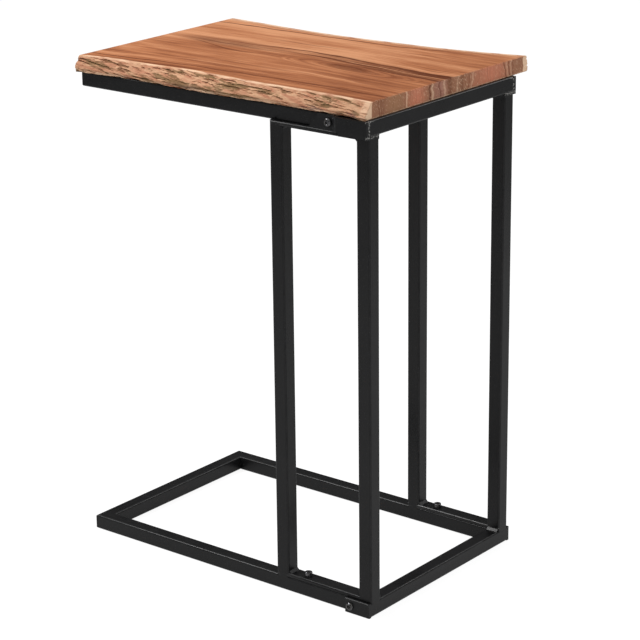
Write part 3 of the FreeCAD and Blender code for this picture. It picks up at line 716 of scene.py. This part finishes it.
def new_piece(name, mesh, material):
    """A finished piece at the origin that rides on the table and takes its finish from a slot."""
    piece = put_in_scene(name, mesh)
    paint(mesh, material)
    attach(piece, BODY)
    return piece


def paint(mesh, material):
    mesh.materials.clear()
    mesh.materials.append(material)


def paint_nodes(nodes, material):
    for name in nodes:
        paint(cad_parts[name].data, material)


def smooth_mesh(mesh, sharp_over):
    """Shades a mesh smooth except across edges that turn by more than an angle in degrees."""
    mesh.polygons.foreach_set("use_smooth", [True] * len(mesh.polygons))
    mesh.set_sharp_from_angle(angle=math.radians(sharp_over))


def mesh_from(name, points, faces):
    """A closed mesh with its faces pointing outwards."""
    mesh = bpy.data.meshes.new(name)
    mesh.from_pydata([tuple(point) for point in points], [], faces)
    shell = bmesh.new()
    shell.from_mesh(mesh)
    bmesh.ops.recalc_face_normals(shell, faces=shell.faces)
    shell.to_mesh(mesh)
    shell.free()
    return mesh


def between(first, second):
    """Faces between two rows of as many points."""
    return list(zip(first, first[1:], second[1:], second))


# ---- the slab


class NaturalEdge:
    """One of the slab's two natural edges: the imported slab's own line, with hollows cut into it."""

    LEVELS = 34
    CROWDED = 0.45  # How much closer together the levels are at both corners, from 0 to 1.
    INSIDE = 0.02 * MM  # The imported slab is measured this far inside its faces.
    STEEPEST = 1.8  # Hollows are cut deeper where the edge slopes, up to this many times.

    def __init__(self, tree, low, high, outwards, look):
        self.tree = tree
        self.low = low
        self.high = high
        self.outwards = outwards
        self.look = look
        turn = np.linspace(0, math.pi, self.LEVELS)
        self.up = (1 - self.CROWDED) * turn / math.pi + self.CROWDED * (1 - np.cos(turn)) / 2
        self.heights = low.z + self.up * (high.z - low.z)

    def line(self, x):
        """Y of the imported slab's edge at each height of one station."""
        x = min(max(x, self.low.x + self.INSIDE), self.high.x - self.INSIDE)
        clear = self.high.y - self.low.y
        found = []
        for z in np.clip(self.heights, self.low.z + self.INSIDE, self.high.z - self.INSIDE):
            start = Vector((x, self.outwards * clear, z))
            hit = self.tree.ray_cast(start, Vector((0, -self.outwards, 0)))[0]
            if hit is None:
                raise ValueError(f"the packed slab has no edge at x {x:.4f}, z {z:.4f}")
            found.append(hit.y)
        return np.array(found)

    def reshape(self, x, line):
        """The front edge is fuller at both of its corners, and its foot flares out at the closed end."""
        if self.outwards > 0:
            return line
        look = self.look
        away_from_ends = smooth(self.low.x, self.low.x + 90 * MM, x) * smooth(120 * MM, 20 * MM, x)
        upper_corner = (0.4 + 0.6 * away_from_ends) * smooth(0.6, 1, self.up)
        lower_corner = 0.5 * smooth(0.3, 0, self.up)
        flared = look.flare * smooth(self.high.x - look.flare_run, self.high.x, x)
        out = look.swell * (upper_corner + lower_corner) + flared * smooth(1, 0.1, self.up)
        return np.maximum(line - out, self.low.y)

    def hollows(self, x, line):
        """How deep the edge is cut at each height of one station."""
        look = self.look
        rise = np.gradient(self.heights)
        around = np.concatenate([[0], np.cumsum(np.hypot(np.diff(line), np.diff(self.heights)))])
        slope = np.hypot(np.gradient(line), rise) / rise
        side = self.outwards * 9.5 + look.seed
        along = x / look.hollow_run
        deep = []
        for way in around:
            across = (way + look.hollow_fall * x) / look.hollow_tall
            swirl = 0.35 * noise.noise(Vector((along * 1.7, across * 0.6, side + 40)))
            large = noise.noise(Vector((along, across + swirl, side)))
            small = noise.noise(Vector((along * 2.6, across * 2.4, side + 11)))
            rough = noise.noise(Vector((along * 9, across * 5.2, side + 23)))
            cut = smooth(0.02, 0.42, large) + 0.4 * smooth(0.05, 0.5, small)
            deep.append(cut + 0.16 * smooth(-0.6, 0.6, rough))
        below_arris = 0.08 + 0.92 * smooth(0.8 * MM, 4.5 * MM, around[-1] - around)
        return np.array(deep) * look.hollow_depth * below_arris * np.minimum(slope, self.STEEPEST)

    def station(self, x):
        """Y at each height and how deep the hollows are there."""
        ease = self.look.ease
        line = self.reshape(x, self.line(x))
        deep = self.hollows(x, line)
        left = ease - np.clip(self.high.z - self.heights, 0, ease)
        sanded = ease - np.sqrt(np.maximum(ease**2 - left**2, 0))
        return line - self.outwards * (deep + sanded), deep


# One height of a section: its z, the two edges' y there, and how deep they are cut.
Row = namedtuple("Row", "z front rear front_deep rear_deep")


class SlabShell:
    """The slab while it is built, section by section from end to end."""

    COLUMNS = 18
    # For the wood: millimetres in from the front and rear edges, how deep a hollow is, and 1 on sawn ends.
    NOTES = ("front_in", "rear_in", "hollow", "sawn")

    def __init__(self, deepest):
        self.deepest = deepest
        self.points, self.faces, self.notes = [], [], []
        self.last_loop = None

    def point(self, x, y, row, deep, cut):
        self.points.append((x, y, row.z))
        self.notes.append(((y - row.front) / MM, (row.rear - y) / MM, min(deep / self.deepest, 1), cut))
        return len(self.points) - 1

    def across(self, x, row, cut):
        """The points between the two edges at one height."""
        shares = np.linspace(0, 1, self.COLUMNS + 1)[1:-1]
        return [self.point(x, row.front + part * (row.rear - row.front), row, 0, cut) for part in shares]

    def add_section(self, x, rows, is_end):
        """Adds a section's outline, joins it to the one before, and closes it if it is a sawn end."""
        cut = 1.0 if is_end else 0.0
        up = [self.point(x, row.front, row, row.front_deep, cut) for row in rows]
        down = [self.point(x, row.rear, row, row.rear_deep, cut) for row in rows]
        over = self.across(x, rows[-1], cut)
        under = self.across(x, rows[0], cut)
        loop = up + over + down[::-1] + under[::-1]
        if self.last_loop:
            self.faces += between(self.last_loop + self.last_loop[:1], loop + loop[:1])
        self.last_loop = loop
        if is_end:
            lines = [[up[0], *under, down[0]]]
            for n in range(1, len(rows) - 1):
                lines.append([up[n], *self.across(x, rows[n], cut), down[n]])
            lines.append([up[-1], *over, down[-1]])
            for first, second in zip(lines, lines[1:]):
                self.faces += between(first, second)


def eased_stations(low, high, ease, pitch):
    """Places along the slab, with a quarter round at each end: x, and how far the section is drawn in."""
    turns = np.linspace(0, math.pi / 2, 5)
    run = ease * (1 - np.cos(turns))
    drawn_in = ease * (1 - np.sin(turns))
    count = round((high - low - 2 * ease) / pitch)
    between = np.linspace(low + ease, high - ease, count + 1)[1:-1]
    x = np.concatenate([low + run, between, (high - run)[::-1]])
    inset = np.concatenate([drawn_in, np.zeros(len(between)), drawn_in[::-1]])
    return x, inset


def shape_slab(look):
    """The slab as one closed mesh of sections from end to end, with the natural edges' hollows cut in."""
    low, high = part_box("slab")
    copy = merged_copy("slab")
    tree = BVHTree.FromBMesh(copy)
    copy.free()
    front = NaturalEdge(tree, low, high, -1, look)
    rear = NaturalEdge(tree, low, high, 1, look)
    middle = (low.z + high.z) / 2
    shell = SlabShell(look.hollow_depth)
    stations, insets = eased_stations(low.x, high.x, look.ease, look.pitch)
    for number, (x, inset) in enumerate(zip(stations, insets)):
        front_y, front_deep = front.station(x)
        rear_y, rear_deep = rear.station(x)
        heights = middle + (front.heights - middle) * (1 - 2 * inset / (high.z - low.z))
        rows = [Row(*row) for row in zip(heights, front_y + inset, rear_y - inset, front_deep, rear_deep)]
        shell.add_section(x, rows, number in (0, len(stations) - 1))
    mesh = mesh_from("live_edge_slab", shell.points, shell.faces)
    for name, values in zip(shell.NOTES, zip(*shell.notes)):
        mesh.attributes.new(name, "FLOAT", "POINT").data.foreach_set("value", values)
    smooth_mesh(mesh, 50)
    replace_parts(new_piece("live_edge_slab", mesh, OiledWood(look).finished()), "slab")


# ---- geometry rules


class Rule(Nodes):
    """A geometry node tree while it is written, from named inputs to one mesh with its material."""

    def __init__(self, name, inputs):
        super().__init__(bpy.data.node_groups.new(name, "GeometryNodeTree"))
        self.keys = {}
        for label, kind in {"Geometry": "Geometry", **inputs, "Material": "Material"}.items():
            socket = self.tree.interface.new_socket(label, in_out="INPUT", socket_type=f"NodeSocket{kind}")
            self.keys[label] = socket.identifier
        self.tree.interface.new_socket("Geometry", in_out="OUTPUT", socket_type="NodeSocketGeometry")
        self.start = self.tree.nodes.new("NodeGroupInput")

    def given(self, label):
        return Varying(self, self.start.outputs[label])

    def end(self, geometry):
        """Makes real meshes of what is instanced, sets the material and ends the tree."""
        real = self.node("GeometryNodeRealizeInstances", None, {"Geometry": geometry})
        sockets = {"Geometry": real, "Material": self.given("Material")}
        done = self.node("GeometryNodeSetMaterial", None, sockets)
        self.node("NodeGroupOutput", None, {"Geometry": done})

    def grow(self, name, seed_mesh, values):
        """The plain mesh that the rule makes from a starting mesh and its inputs' values."""
        start = put_in_scene(name, seed_mesh)
        modifier = start.modifiers.new("rule", "NODES")
        modifier.node_group = self.tree
        for label, value in values.items():
            modifier[self.keys[label]] = value
        bpy.context.view_layer.update()
        ready = start.evaluated_get(bpy.context.evaluated_depsgraph_get())
        mesh = bpy.data.meshes.new_from_object(ready)
        bpy.data.objects.remove(start)
        mesh.name = name
        return mesh


# ---- bolts


def bolt_mesh(look, place, crown, drop):
    """A bolt with its head's top at the origin: a socket, a crown that rounds down over a drop, a shank."""
    segments = 48
    tip_bevel = 0.7 * MM
    turns = np.linspace(0, 2 * math.pi, segments, endpoint=False)
    round_ring = np.stack([np.cos(turns), np.sin(turns)], axis=1)
    to_flat = (turns + math.pi / 6) % (math.pi / 3) - math.pi / 6
    hexagon = round_ring / np.cos(to_flat)[:, None]
    head, tall = place.head_wide / 2, place.head_tall
    shank, run = place.shank_wide / 2, place.run
    flat = look.socket / 2
    socket = [
        (hexagon, flat * 0.93, -look.socket_deep),
        (hexagon, flat, -look.socket_deep * 0.9),
        (hexagon, flat, -0.35 * MM),
        (round_ring, flat * 1.19, -0.04 * MM),
    ]
    dome = [
        (round_ring, crown + (head - crown) * math.sin(turn), drop * (math.cos(turn) - 1))
        for turn in np.linspace(0, math.pi / 2, 9)
    ]
    stem = [
        (round_ring, head * 0.97, -tall),
        (round_ring, shank, -tall),
        (round_ring, shank, tip_bevel - run),
        (round_ring, shank - tip_bevel, -run),
    ]
    rings = [*socket, *dome, *stem]
    points = [(0, 0, -look.socket_deep * 1.15)]
    for shape, radius, height in rings:
        points += [(radius * px, radius * py, height) for px, py in shape]
    points.append((0, 0, -run))
    last = len(points) - 1
    faces = []
    for n in range(segments):
        beside = (n + 1) % segments
        faces.append((0, 1 + n, 1 + beside))
        faces.append((last, last - segments + beside, last - segments + n))
        for ring in range(len(rings) - 1):
            first = 1 + ring * segments
            second = first + segments
            faces.append((first + n, second + n, second + beside, first + beside))
    mesh = mesh_from("bolt", points, faces)
    smooth_mesh(mesh, 32)
    return mesh


def bolt_rule():
    """One bolt on each point, its head the way the point faces and its socket turned at random."""
    rule = Rule("bolts_in_place", {"Bolt": "Object", "Seed": "Int"})
    facing = rule.node("GeometryNodeInputNamedAttribute", {"data_type": "FLOAT_VECTOR"}, {"Name": "facing"})
    way = {"Vector": facing.outputs["Attribute"]}
    turned = rule.node("FunctionNodeAlignRotationToVector", {"axis": "Z"}, way)
    between = {2: 0.0, 3: math.pi / 3, "Seed": rule.given("Seed")}
    spin = rule.node("FunctionNodeRandomValue", {"data_type": "FLOAT"}, between)
    euler = rule.node("ShaderNodeCombineXYZ", None, {"Z": spin.outputs[1]})
    twist = rule.node("FunctionNodeEulerToRotation", None, {0: euler})
    sockets = {"Rotation": turned, "Rotate By": twist}
    both = rule.node("FunctionNodeRotateRotation", {"rotation_space": "LOCAL"}, sockets)
    bolt = rule.node("GeometryNodeObjectInfo", None, {"Object": rule.given("Bolt")})
    dots = rule.node("GeometryNodeMeshToPoints", None, {"Mesh": rule.given("Geometry")})
    sockets = {"Points": dots, "Instance": bolt.outputs["Geometry"], "Rotation": both}
    rule.end(rule.node("GeometryNodeInstanceOnPoints", None, sockets))
    return rule


def set_bolts(look):
    """Domed heads on the lugs and cap heads on the base bars; the countersunk bolts keep their shape."""
    crown_share, drop_share = 0.66, 0.84  # Of the socket's width, and of the head's height.
    oxide = black_oxide(look)
    rule = bolt_rule()
    for node, name, domed in (("button_bolts", "button_heads", True), ("cap_bolts", "cap_heads", False)):
        places = [BoltPlace(points) for points in solids_of(node)]
        first = places[0]
        crown = crown_share * look.socket if domed else first.head_wide / 2 - look.cap_round
        drop = drop_share * first.head_tall if domed else look.cap_round
        template = bpy.data.objects.new("bolt_template", bolt_mesh(look, first, crown, drop))
        seeds = bpy.data.meshes.new("bolt_places")
        seeds.from_pydata([place.at for place in places], [], [])
        facing = seeds.attributes.new("facing", "FLOAT_VECTOR", "POINT")
        facing.data.foreach_set("vector", [value for place in places for value in place.facing])
        mesh = rule.grow(name, seeds, {"Bolt": template, "Seed": look.seed, "Material": oxide})
        bpy.data.objects.remove(template)
        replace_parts(new_piece(name, mesh, oxide), node)
    paint_nodes(["flat_bolts"], oxide)


# ---- welds and ground steel


def coat_on_welds(look):
    """The coat on the welds and the ground bars, made once."""
    name = "coat_on_welds"
    return bpy.data.materials.get(name) or powder_coat(name, look, 1)


def weld_lines():
    """Start and end of each bead: between posts, along the end rails, and across the top bars' ends."""
    short = 1.6 * MM
    rail_gap = 2.4 * MM
    lines = []
    for post in POSTS:
        low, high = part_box(post)
        inner_x = high.x if "mid" in post else low.x
        for z in (low.z, high.z):
            lines.append(((inner_x, low.y + short, z), (inner_x, high.y - short, z)))
    for level in ("base", "top"):
        end_low, end_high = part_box(f"{level}_end_rail")
        for side in ("front", "back"):
            low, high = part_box(f"{level}_{side}_bar")
            y = high.y if side == "front" else low.y
            z = low.z if level == "base" else high.z
            lines.append(((end_low.x + short, y, z), (end_high.x - short, y, z)))
    for side in ("front", "back"):
        low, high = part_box(f"top_{side}_bar")
        rail_low, rail_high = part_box(f"top_{side}_rail")
        outer, inner = (low.y, rail_low.y) if side == "front" else (high.y, rail_high.y)
        inwards = short if side == "front" else -short
        x = low.x + rail_gap
        lines.append(((x, outer + inwards, high.z), (x, inner + inwards, high.z)))
    return lines


def weld_rule():
    """A rippled, slightly uneven fillet along each line: a square on its corner, half of it in the steel."""
    steps_per_ripple = 6.0
    unevenness = 0.22
    rule = Rule("weld_beads", {"Leg": "Float", "Pitch": "Float", "Ripple": "Float", "Seed": "Int"})
    pitch = rule.given("Pitch")
    runs = rule.node("GeometryNodeMeshToCurve", None, {"Mesh": rule.given("Geometry")})
    sockets = {"Curve": runs, "Length": pitch / steps_per_ripple}
    fine = rule.node("GeometryNodeResampleCurve", {"mode": "LENGTH"}, sockets)
    along = Varying(rule, rule.node("GeometryNodeSplineParameter").outputs["Length"])
    wave = rule.math("SINE", along / pitch * (2 * math.pi))
    where = rule.node("GeometryNodeInputPosition")
    sockets = {"Vector": where, "W": rule.given("Seed"), "Scale": 230.0, "Detail": 2.0}
    uneven = Varying(rule, rule.node("ShaderNodeTexNoise", {"noise_dimensions": "4D"}, sockets).outputs[0])
    scale = wave * rule.given("Ripple") + ((uneven - 0.5) * unevenness + 1.0)
    sized = rule.node("GeometryNodeSetCurveRadius", None, {"Curve": fine, "Radius": scale})
    corners = {"Resolution": 4, "Radius": rule.given("Leg")}
    square = rule.node("GeometryNodeCurvePrimitiveCircle", None, corners)
    sockets = {"Curve": sized, "Profile Curve": square, "Fill Caps": True}
    rule.end(rule.node("GeometryNodeCurveToMesh", None, sockets))
    return rule


def lay_beads(look, coat):
    """The weld beads that weren't ground."""
    seeds = bpy.data.meshes.new("weld_lines")
    ends = [point for line in weld_lines() for point in line]
    seeds.from_pydata(ends, [(n, n + 1) for n in range(0, len(ends), 2)], [])
    material = coat_on_welds(coat)
    values = {name.title(): getattr(look, name) for name in ("leg", "pitch", "ripple", "seed")}
    mesh = weld_rule().grow("weld_beads", seeds, {**values, "Material": material})
    smooth_mesh(mesh, 60)
    new_piece("weld_beads", mesh, material)


def grind_bars(look, coat):
    """Bars whose free corners are ground to the round of the tubes that stand on them."""
    middle_y = (CAD_BOX[0].y + CAD_BOX[1].y) / 2
    turns = np.radians(np.arange(9, 90, 12))
    for node in BARS:
        copy = merged_copy(node)
        low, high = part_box(node)
        outer = 1 if low.y > middle_y else -1
        for x, along, across in ((low.x, -1, -1), (low.x, -1, 1), (high.x, 1, outer)):
            y = low.y if across < 0 else high.y
            hub = Vector((x - along * look.bar_round, y - across * look.bar_round, low.z))
            for turn in turns:
                out = Vector((along * math.cos(turn), across * math.sin(turn), 0))
                geometry = [*copy.verts, *copy.edges, *copy.faces]
                cut = bmesh.ops.bisect_plane(
                    copy, geom=geometry, plane_co=hub + out * look.bar_round, plane_no=out, clear_outer=True
                )
                rim = [part for part in cut["geom_cut"] if isinstance(part, bmesh.types.BMEdge)]
                bmesh.ops.contextual_create(copy, geom=rim)
        bmesh.ops.recalc_face_normals(copy, faces=copy.faces)
        mesh = bpy.data.meshes.new(f"{node}_ground")
        copy.to_mesh(mesh)
        copy.free()
        smooth_mesh(mesh, 20)
        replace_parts(new_piece(f"{node}_ground", mesh, coat_on_welds(coat)), node)


def ground_welds(proud):
    """Where welds were ground flush with the posts: each patch's corners and the way that it faces."""
    shoulder, side, lip = 2.6 * MM, 1.4 * MM, 1.3 * MM
    patches = []
    end_low, end_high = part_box("base_end_rail")
    for post in POSTS:
        low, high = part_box(post)
        bars = "front" if low.y < (end_low.y + end_high.y) / 2 else "back"
        base_low, base_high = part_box(f"base_{bars}_bar")
        top_low, top_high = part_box(f"top_{bars}_bar")
        lug_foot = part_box(f"top_{bars}_lug")[0].z
        cornered = "corner" in post
        base_head, top_foot = base_high.z + lip, top_low.z - lip
        outside = [
            (base_low.z + lip if cornered else base_low.z - shoulder, base_head),
            (top_foot, lug_foot - side if cornered else top_high.z - 1.5 * lip),
        ]
        inside = [
            (base_low.z if cornered else base_low.z - shoulder, base_head),
            (top_foot, top_high.z if cornered else top_high.z - 1.5 * lip),
        ]
        out = -1 if bars == "front" else 1
        outer_y, inner_y = (low.y, high.y) if out < 0 else (high.y, low.y)
        for y, way, reaches in ((outer_y, out, outside), (inner_y, -out, inside)):
            for foot, head in reaches:
                face = y + way * proud
                patches.append(((low.x + side, face, foot), (high.x - side, face, head), Vector((0, way, 0))))
        if cornered:
            for foot, head in ((base_low.z - shoulder, base_head), (top_foot, top_high.z + shoulder)):
                face = end_high.x - proud
                patches.append(((face, low.y + side, foot), (face, high.y - side, head), Vector((1, 0, 0))))
    return patches


def grind_welds(look, coat):
    """Low pads over the ground welds, very slightly wavy, with sloped rims."""
    count = 9
    last = count - 1
    rim_drop, least_drop, waviness, wave_run = 0.25 * MM, 0.02 * MM, 0.03 * MM, 3 * MM
    points, faces = [], []
    for low, high, out in ground_welds(look.proud):
        low, high = Vector(low), Vector(high)
        along = Vector((0, 1, 0)) if out.x else Vector((1, 0, 0))
        run, tall = (high - low).dot(along), high.z - low.z
        first = len(points)
        for row in range(count):
            for step in range(count):
                at = low + along * run * (step / last) + UP * tall * (row / last)
                on_rim = step in (0, last) or row in (0, last)
                wave = waviness * noise.noise(at / wave_run + Vector((look.seed, 0, 0)))
                points.append(at - out * (rim_drop if on_rim else least_drop + abs(wave)))
        grid = np.arange(first, len(points)).reshape(count, count).tolist()
        for lower, upper in zip(grid, grid[1:]):
            faces += between(lower, upper)
        left, right = ([row[edge] for row in grid] for edge in (0, -1))
        back = len(points)
        for n, side in enumerate((grid[0], right, grid[-1][::-1], left[::-1])):
            points.append(points[side[0]] - out * look.deep)
            faces.append((*side, back + (n + 1) % 4, back + n))
        faces.append((back, back + 1, back + 2, back + 3))
    mesh = mesh_from("ground_welds", points, faces)
    smooth_mesh(mesh, 40)
    new_piece("ground_welds", mesh, coat_on_welds(coat))


# ---- stage


def stand_stage(look):
    """Floor, lamps, backdrop and camera."""
    reach = 14.0
    floor_mesh = bpy.data.meshes.new("floor")
    corners = [(-reach, -reach, 0), (reach, -reach, 0), (reach, reach, 0), (-reach, reach, 0)]
    floor_mesh.from_pydata(corners, [], [(0, 1, 2, 3)])
    paint(floor_mesh, pale_floor(look))
    put_in_scene("floor", floor_mesh)
    light_world()
    centre = (CAD_BOX[0] + CAD_BOX[1]) / 2
    hang_lamp("key", centre, azimuth=-60, elevation=48, distance=2.6, wide=0.7, power=38)
    hang_lamp("fill", centre, azimuth=72, elevation=20, distance=2.8, wide=1.8, power=11)
    hang_lamp("rim", centre, azimuth=157, elevation=36, distance=2.8, wide=0.9, power=10)
    point_camera(look)


def light_world():
    """A soft light ceiling over a dim room, behind a sweep that the camera sees as white."""
    world = bpy.data.worlds.new("studio")
    bpy.context.scene.world = world
    room = Recipe(world)
    way = room.node("ShaderNodeTexCoord").outputs["Generated"]
    height = Varying(room, room.node("ShaderNodeSeparateXYZ", None, {0: way}).outputs["Z"])
    dim, ceiling, white = (
        room.node("ShaderNodeBackground", None, {"Color": (1, 1, 1), "Strength": strength})
        for strength in (0.035, 0.86, 1.0)
    )
    lit = room.mix_shaders(height.rise(0.4, 0.75), dim, ceiling)
    shown = room.ray("Camera").most(room.seen() * height.rise(0.08, 0.01))
    room.node("ShaderNodeOutputWorld", None, {"Surface": room.mix_shaders(shown, lit, white)})


def direction(azimuth, elevation):
    """The way from the table to a place round it: azimuth 0 is in front, 90 at the closed end's side."""
    flat = math.cos(elevation)
    return Vector((math.sin(azimuth) * flat, -math.cos(azimuth) * flat, math.sin(elevation)))


def hang_lamp(name, centre, azimuth, elevation, distance, wide, power):
    """A large soft lamp that faces the table."""
    away = direction(math.radians(azimuth), math.radians(elevation))
    lamp = bpy.data.lights.new(name, "AREA")
    lamp.shape = "DISK"
    lamp.size = wide
    lamp.energy = power
    hung = put_in_scene(name, lamp)
    hung.location = centre + away * distance
    hung.rotation_euler = away.to_track_quat("Z", "Y").to_euler()


def point_camera(look):
    back = direction(look.azimuth, look.elevation)
    right = Vector((math.cos(look.azimuth), math.sin(look.azimuth), 0))
    turn = Matrix((right, back.cross(right), back)).transposed() @ Matrix.Rotation(look.roll, 3, "Z")
    camera = bpy.data.cameras.new("camera")
    camera.sensor_width = 36
    camera.lens = look.lens
    stood = put_in_scene("camera", camera)
    place = Vector(look.aim) + turn @ Vector((*look.aside, look.distance))
    stood.matrix_world = Matrix.Translation(place) @ turn.to_4x4()
    bpy.context.scene.camera = stood
    bpy.context.scene.view_settings.view_transform = "Standard"


# ---- operators and panel


class SIDE_TABLE_OT_stage(bpy.types.Operator):
    """Stand the table on a pale floor under soft light, with its camera"""

    bl_idname = "side_table.stand_stage"
    bl_label = "Stand Stage"

    def execute(self, context):
        stand_stage(context.scene.table_stage)
        return {"FINISHED"}


class SIDE_TABLE_OT_slab(bpy.types.Operator):
    """Shape the live edge slab and oil it"""

    bl_idname = "side_table.shape_slab"
    bl_label = "Shape Slab"

    def execute(self, context):
        shape_slab(context.scene.table_slab)
        return {"FINISHED"}


class SIDE_TABLE_OT_coat(bpy.types.Operator):
    """Powder coat the tubes, bars and lugs, and plate the hidden nuts and screws"""

    bl_idname = "side_table.coat_frame"
    bl_label = "Coat Frame"

    def execute(self, context):
        look = context.scene.table_coat
        for name, nodes, along in (
            ("coat_along_slab", ALONG_SLAB, 0),
            ("coat_across_slab", ACROSS_SLAB, 1),
            ("coat_on_posts", POSTS, 2),
        ):
            paint_nodes(nodes, powder_coat(name, look, along))
        paint_nodes(["weld_nuts", "slab_screws"], zinc_plate())
        return {"FINISHED"}


class SIDE_TABLE_OT_bolts(bpy.types.Operator):
    """Put a bolt with a domed head or a cap head in each bolt's place"""

    bl_idname = "side_table.set_bolts"
    bl_label = "Set Bolts"

    def execute(self, context):
        set_bolts(context.scene.table_bolts)
        return {"FINISHED"}


class SIDE_TABLE_OT_beads(bpy.types.Operator):
    """Lay a weld bead along each welded joint that isn't ground"""

    bl_idname = "side_table.lay_beads"
    bl_label = "Lay Weld Beads"

    def execute(self, context):
        lay_beads(context.scene.table_welds, context.scene.table_coat)
        return {"FINISHED"}


class SIDE_TABLE_OT_bars(bpy.types.Operator):
    """Grind the free corners of the four bars round"""

    bl_idname = "side_table.grind_bars"
    bl_label = "Grind Bars"

    def execute(self, context):
        grind_bars(context.scene.table_welds, context.scene.table_coat)
        return {"FINISHED"}


class SIDE_TABLE_OT_pads(bpy.types.Operator):
    """Grind the welds on the posts' faces flush"""

    bl_idname = "side_table.grind_welds"
    bl_label = "Grind Welds"

    def execute(self, context):
        grind_welds(context.scene.table_welds, context.scene.table_coat)
        return {"FINISHED"}


# The settings that the scene holds, and the operators that use them.
GROUPS = {
    "table_stage": (StageSettings, [SIDE_TABLE_OT_stage]),
    "table_slab": (SlabSettings, [SIDE_TABLE_OT_slab]),
    "table_coat": (CoatSettings, [SIDE_TABLE_OT_coat]),
    "table_bolts": (BoltSettings, [SIDE_TABLE_OT_bolts]),
    "table_welds": (WeldSettings, [SIDE_TABLE_OT_beads, SIDE_TABLE_OT_bars, SIDE_TABLE_OT_pads]),
}


class SIDE_TABLE_PT_panel(bpy.types.Panel):
    """Each step of the table's looks, with its sizes and colours"""

    bl_label = "Side Table"
    bl_idname = "SIDE_TABLE_PT_panel"
    bl_space_type = "VIEW_3D"
    bl_region_type = "UI"
    bl_category = "Side Table"

    def draw(self, context):
        for holder, (kind, steps) in GROUPS.items():
            box = self.layout.box()
            for step in steps:
                box.operator(step.bl_idname)
            for name in kind.__annotations__:
                box.prop(getattr(context.scene, holder), name)


CLASSES = [kind for settings, steps in GROUPS.values() for kind in (settings, *steps)]
CLASSES.append(SIDE_TABLE_PT_panel)


def register():
    for kind in CLASSES:
        bpy.utils.register_class(kind)
    for holder, (kind, _) in GROUPS.items():
        setattr(bpy.types.Scene, holder, PointerProperty(type=kind))


def unregister():
    for holder in GROUPS:
        delattr(bpy.types.Scene, holder)
    for kind in reversed(CLASSES):
        bpy.utils.unregister_class(kind)


def main():
    register()
    bpy.ops.side_table.stand_stage()
    bpy.ops.side_table.shape_slab()
    bpy.ops.side_table.coat_frame()
    bpy.ops.side_table.set_bolts()
    bpy.ops.side_table.lay_beads()
    bpy.ops.side_table.grind_bars()
    bpy.ops.side_table.grind_welds()


if __name__ == "__main__":
    main()
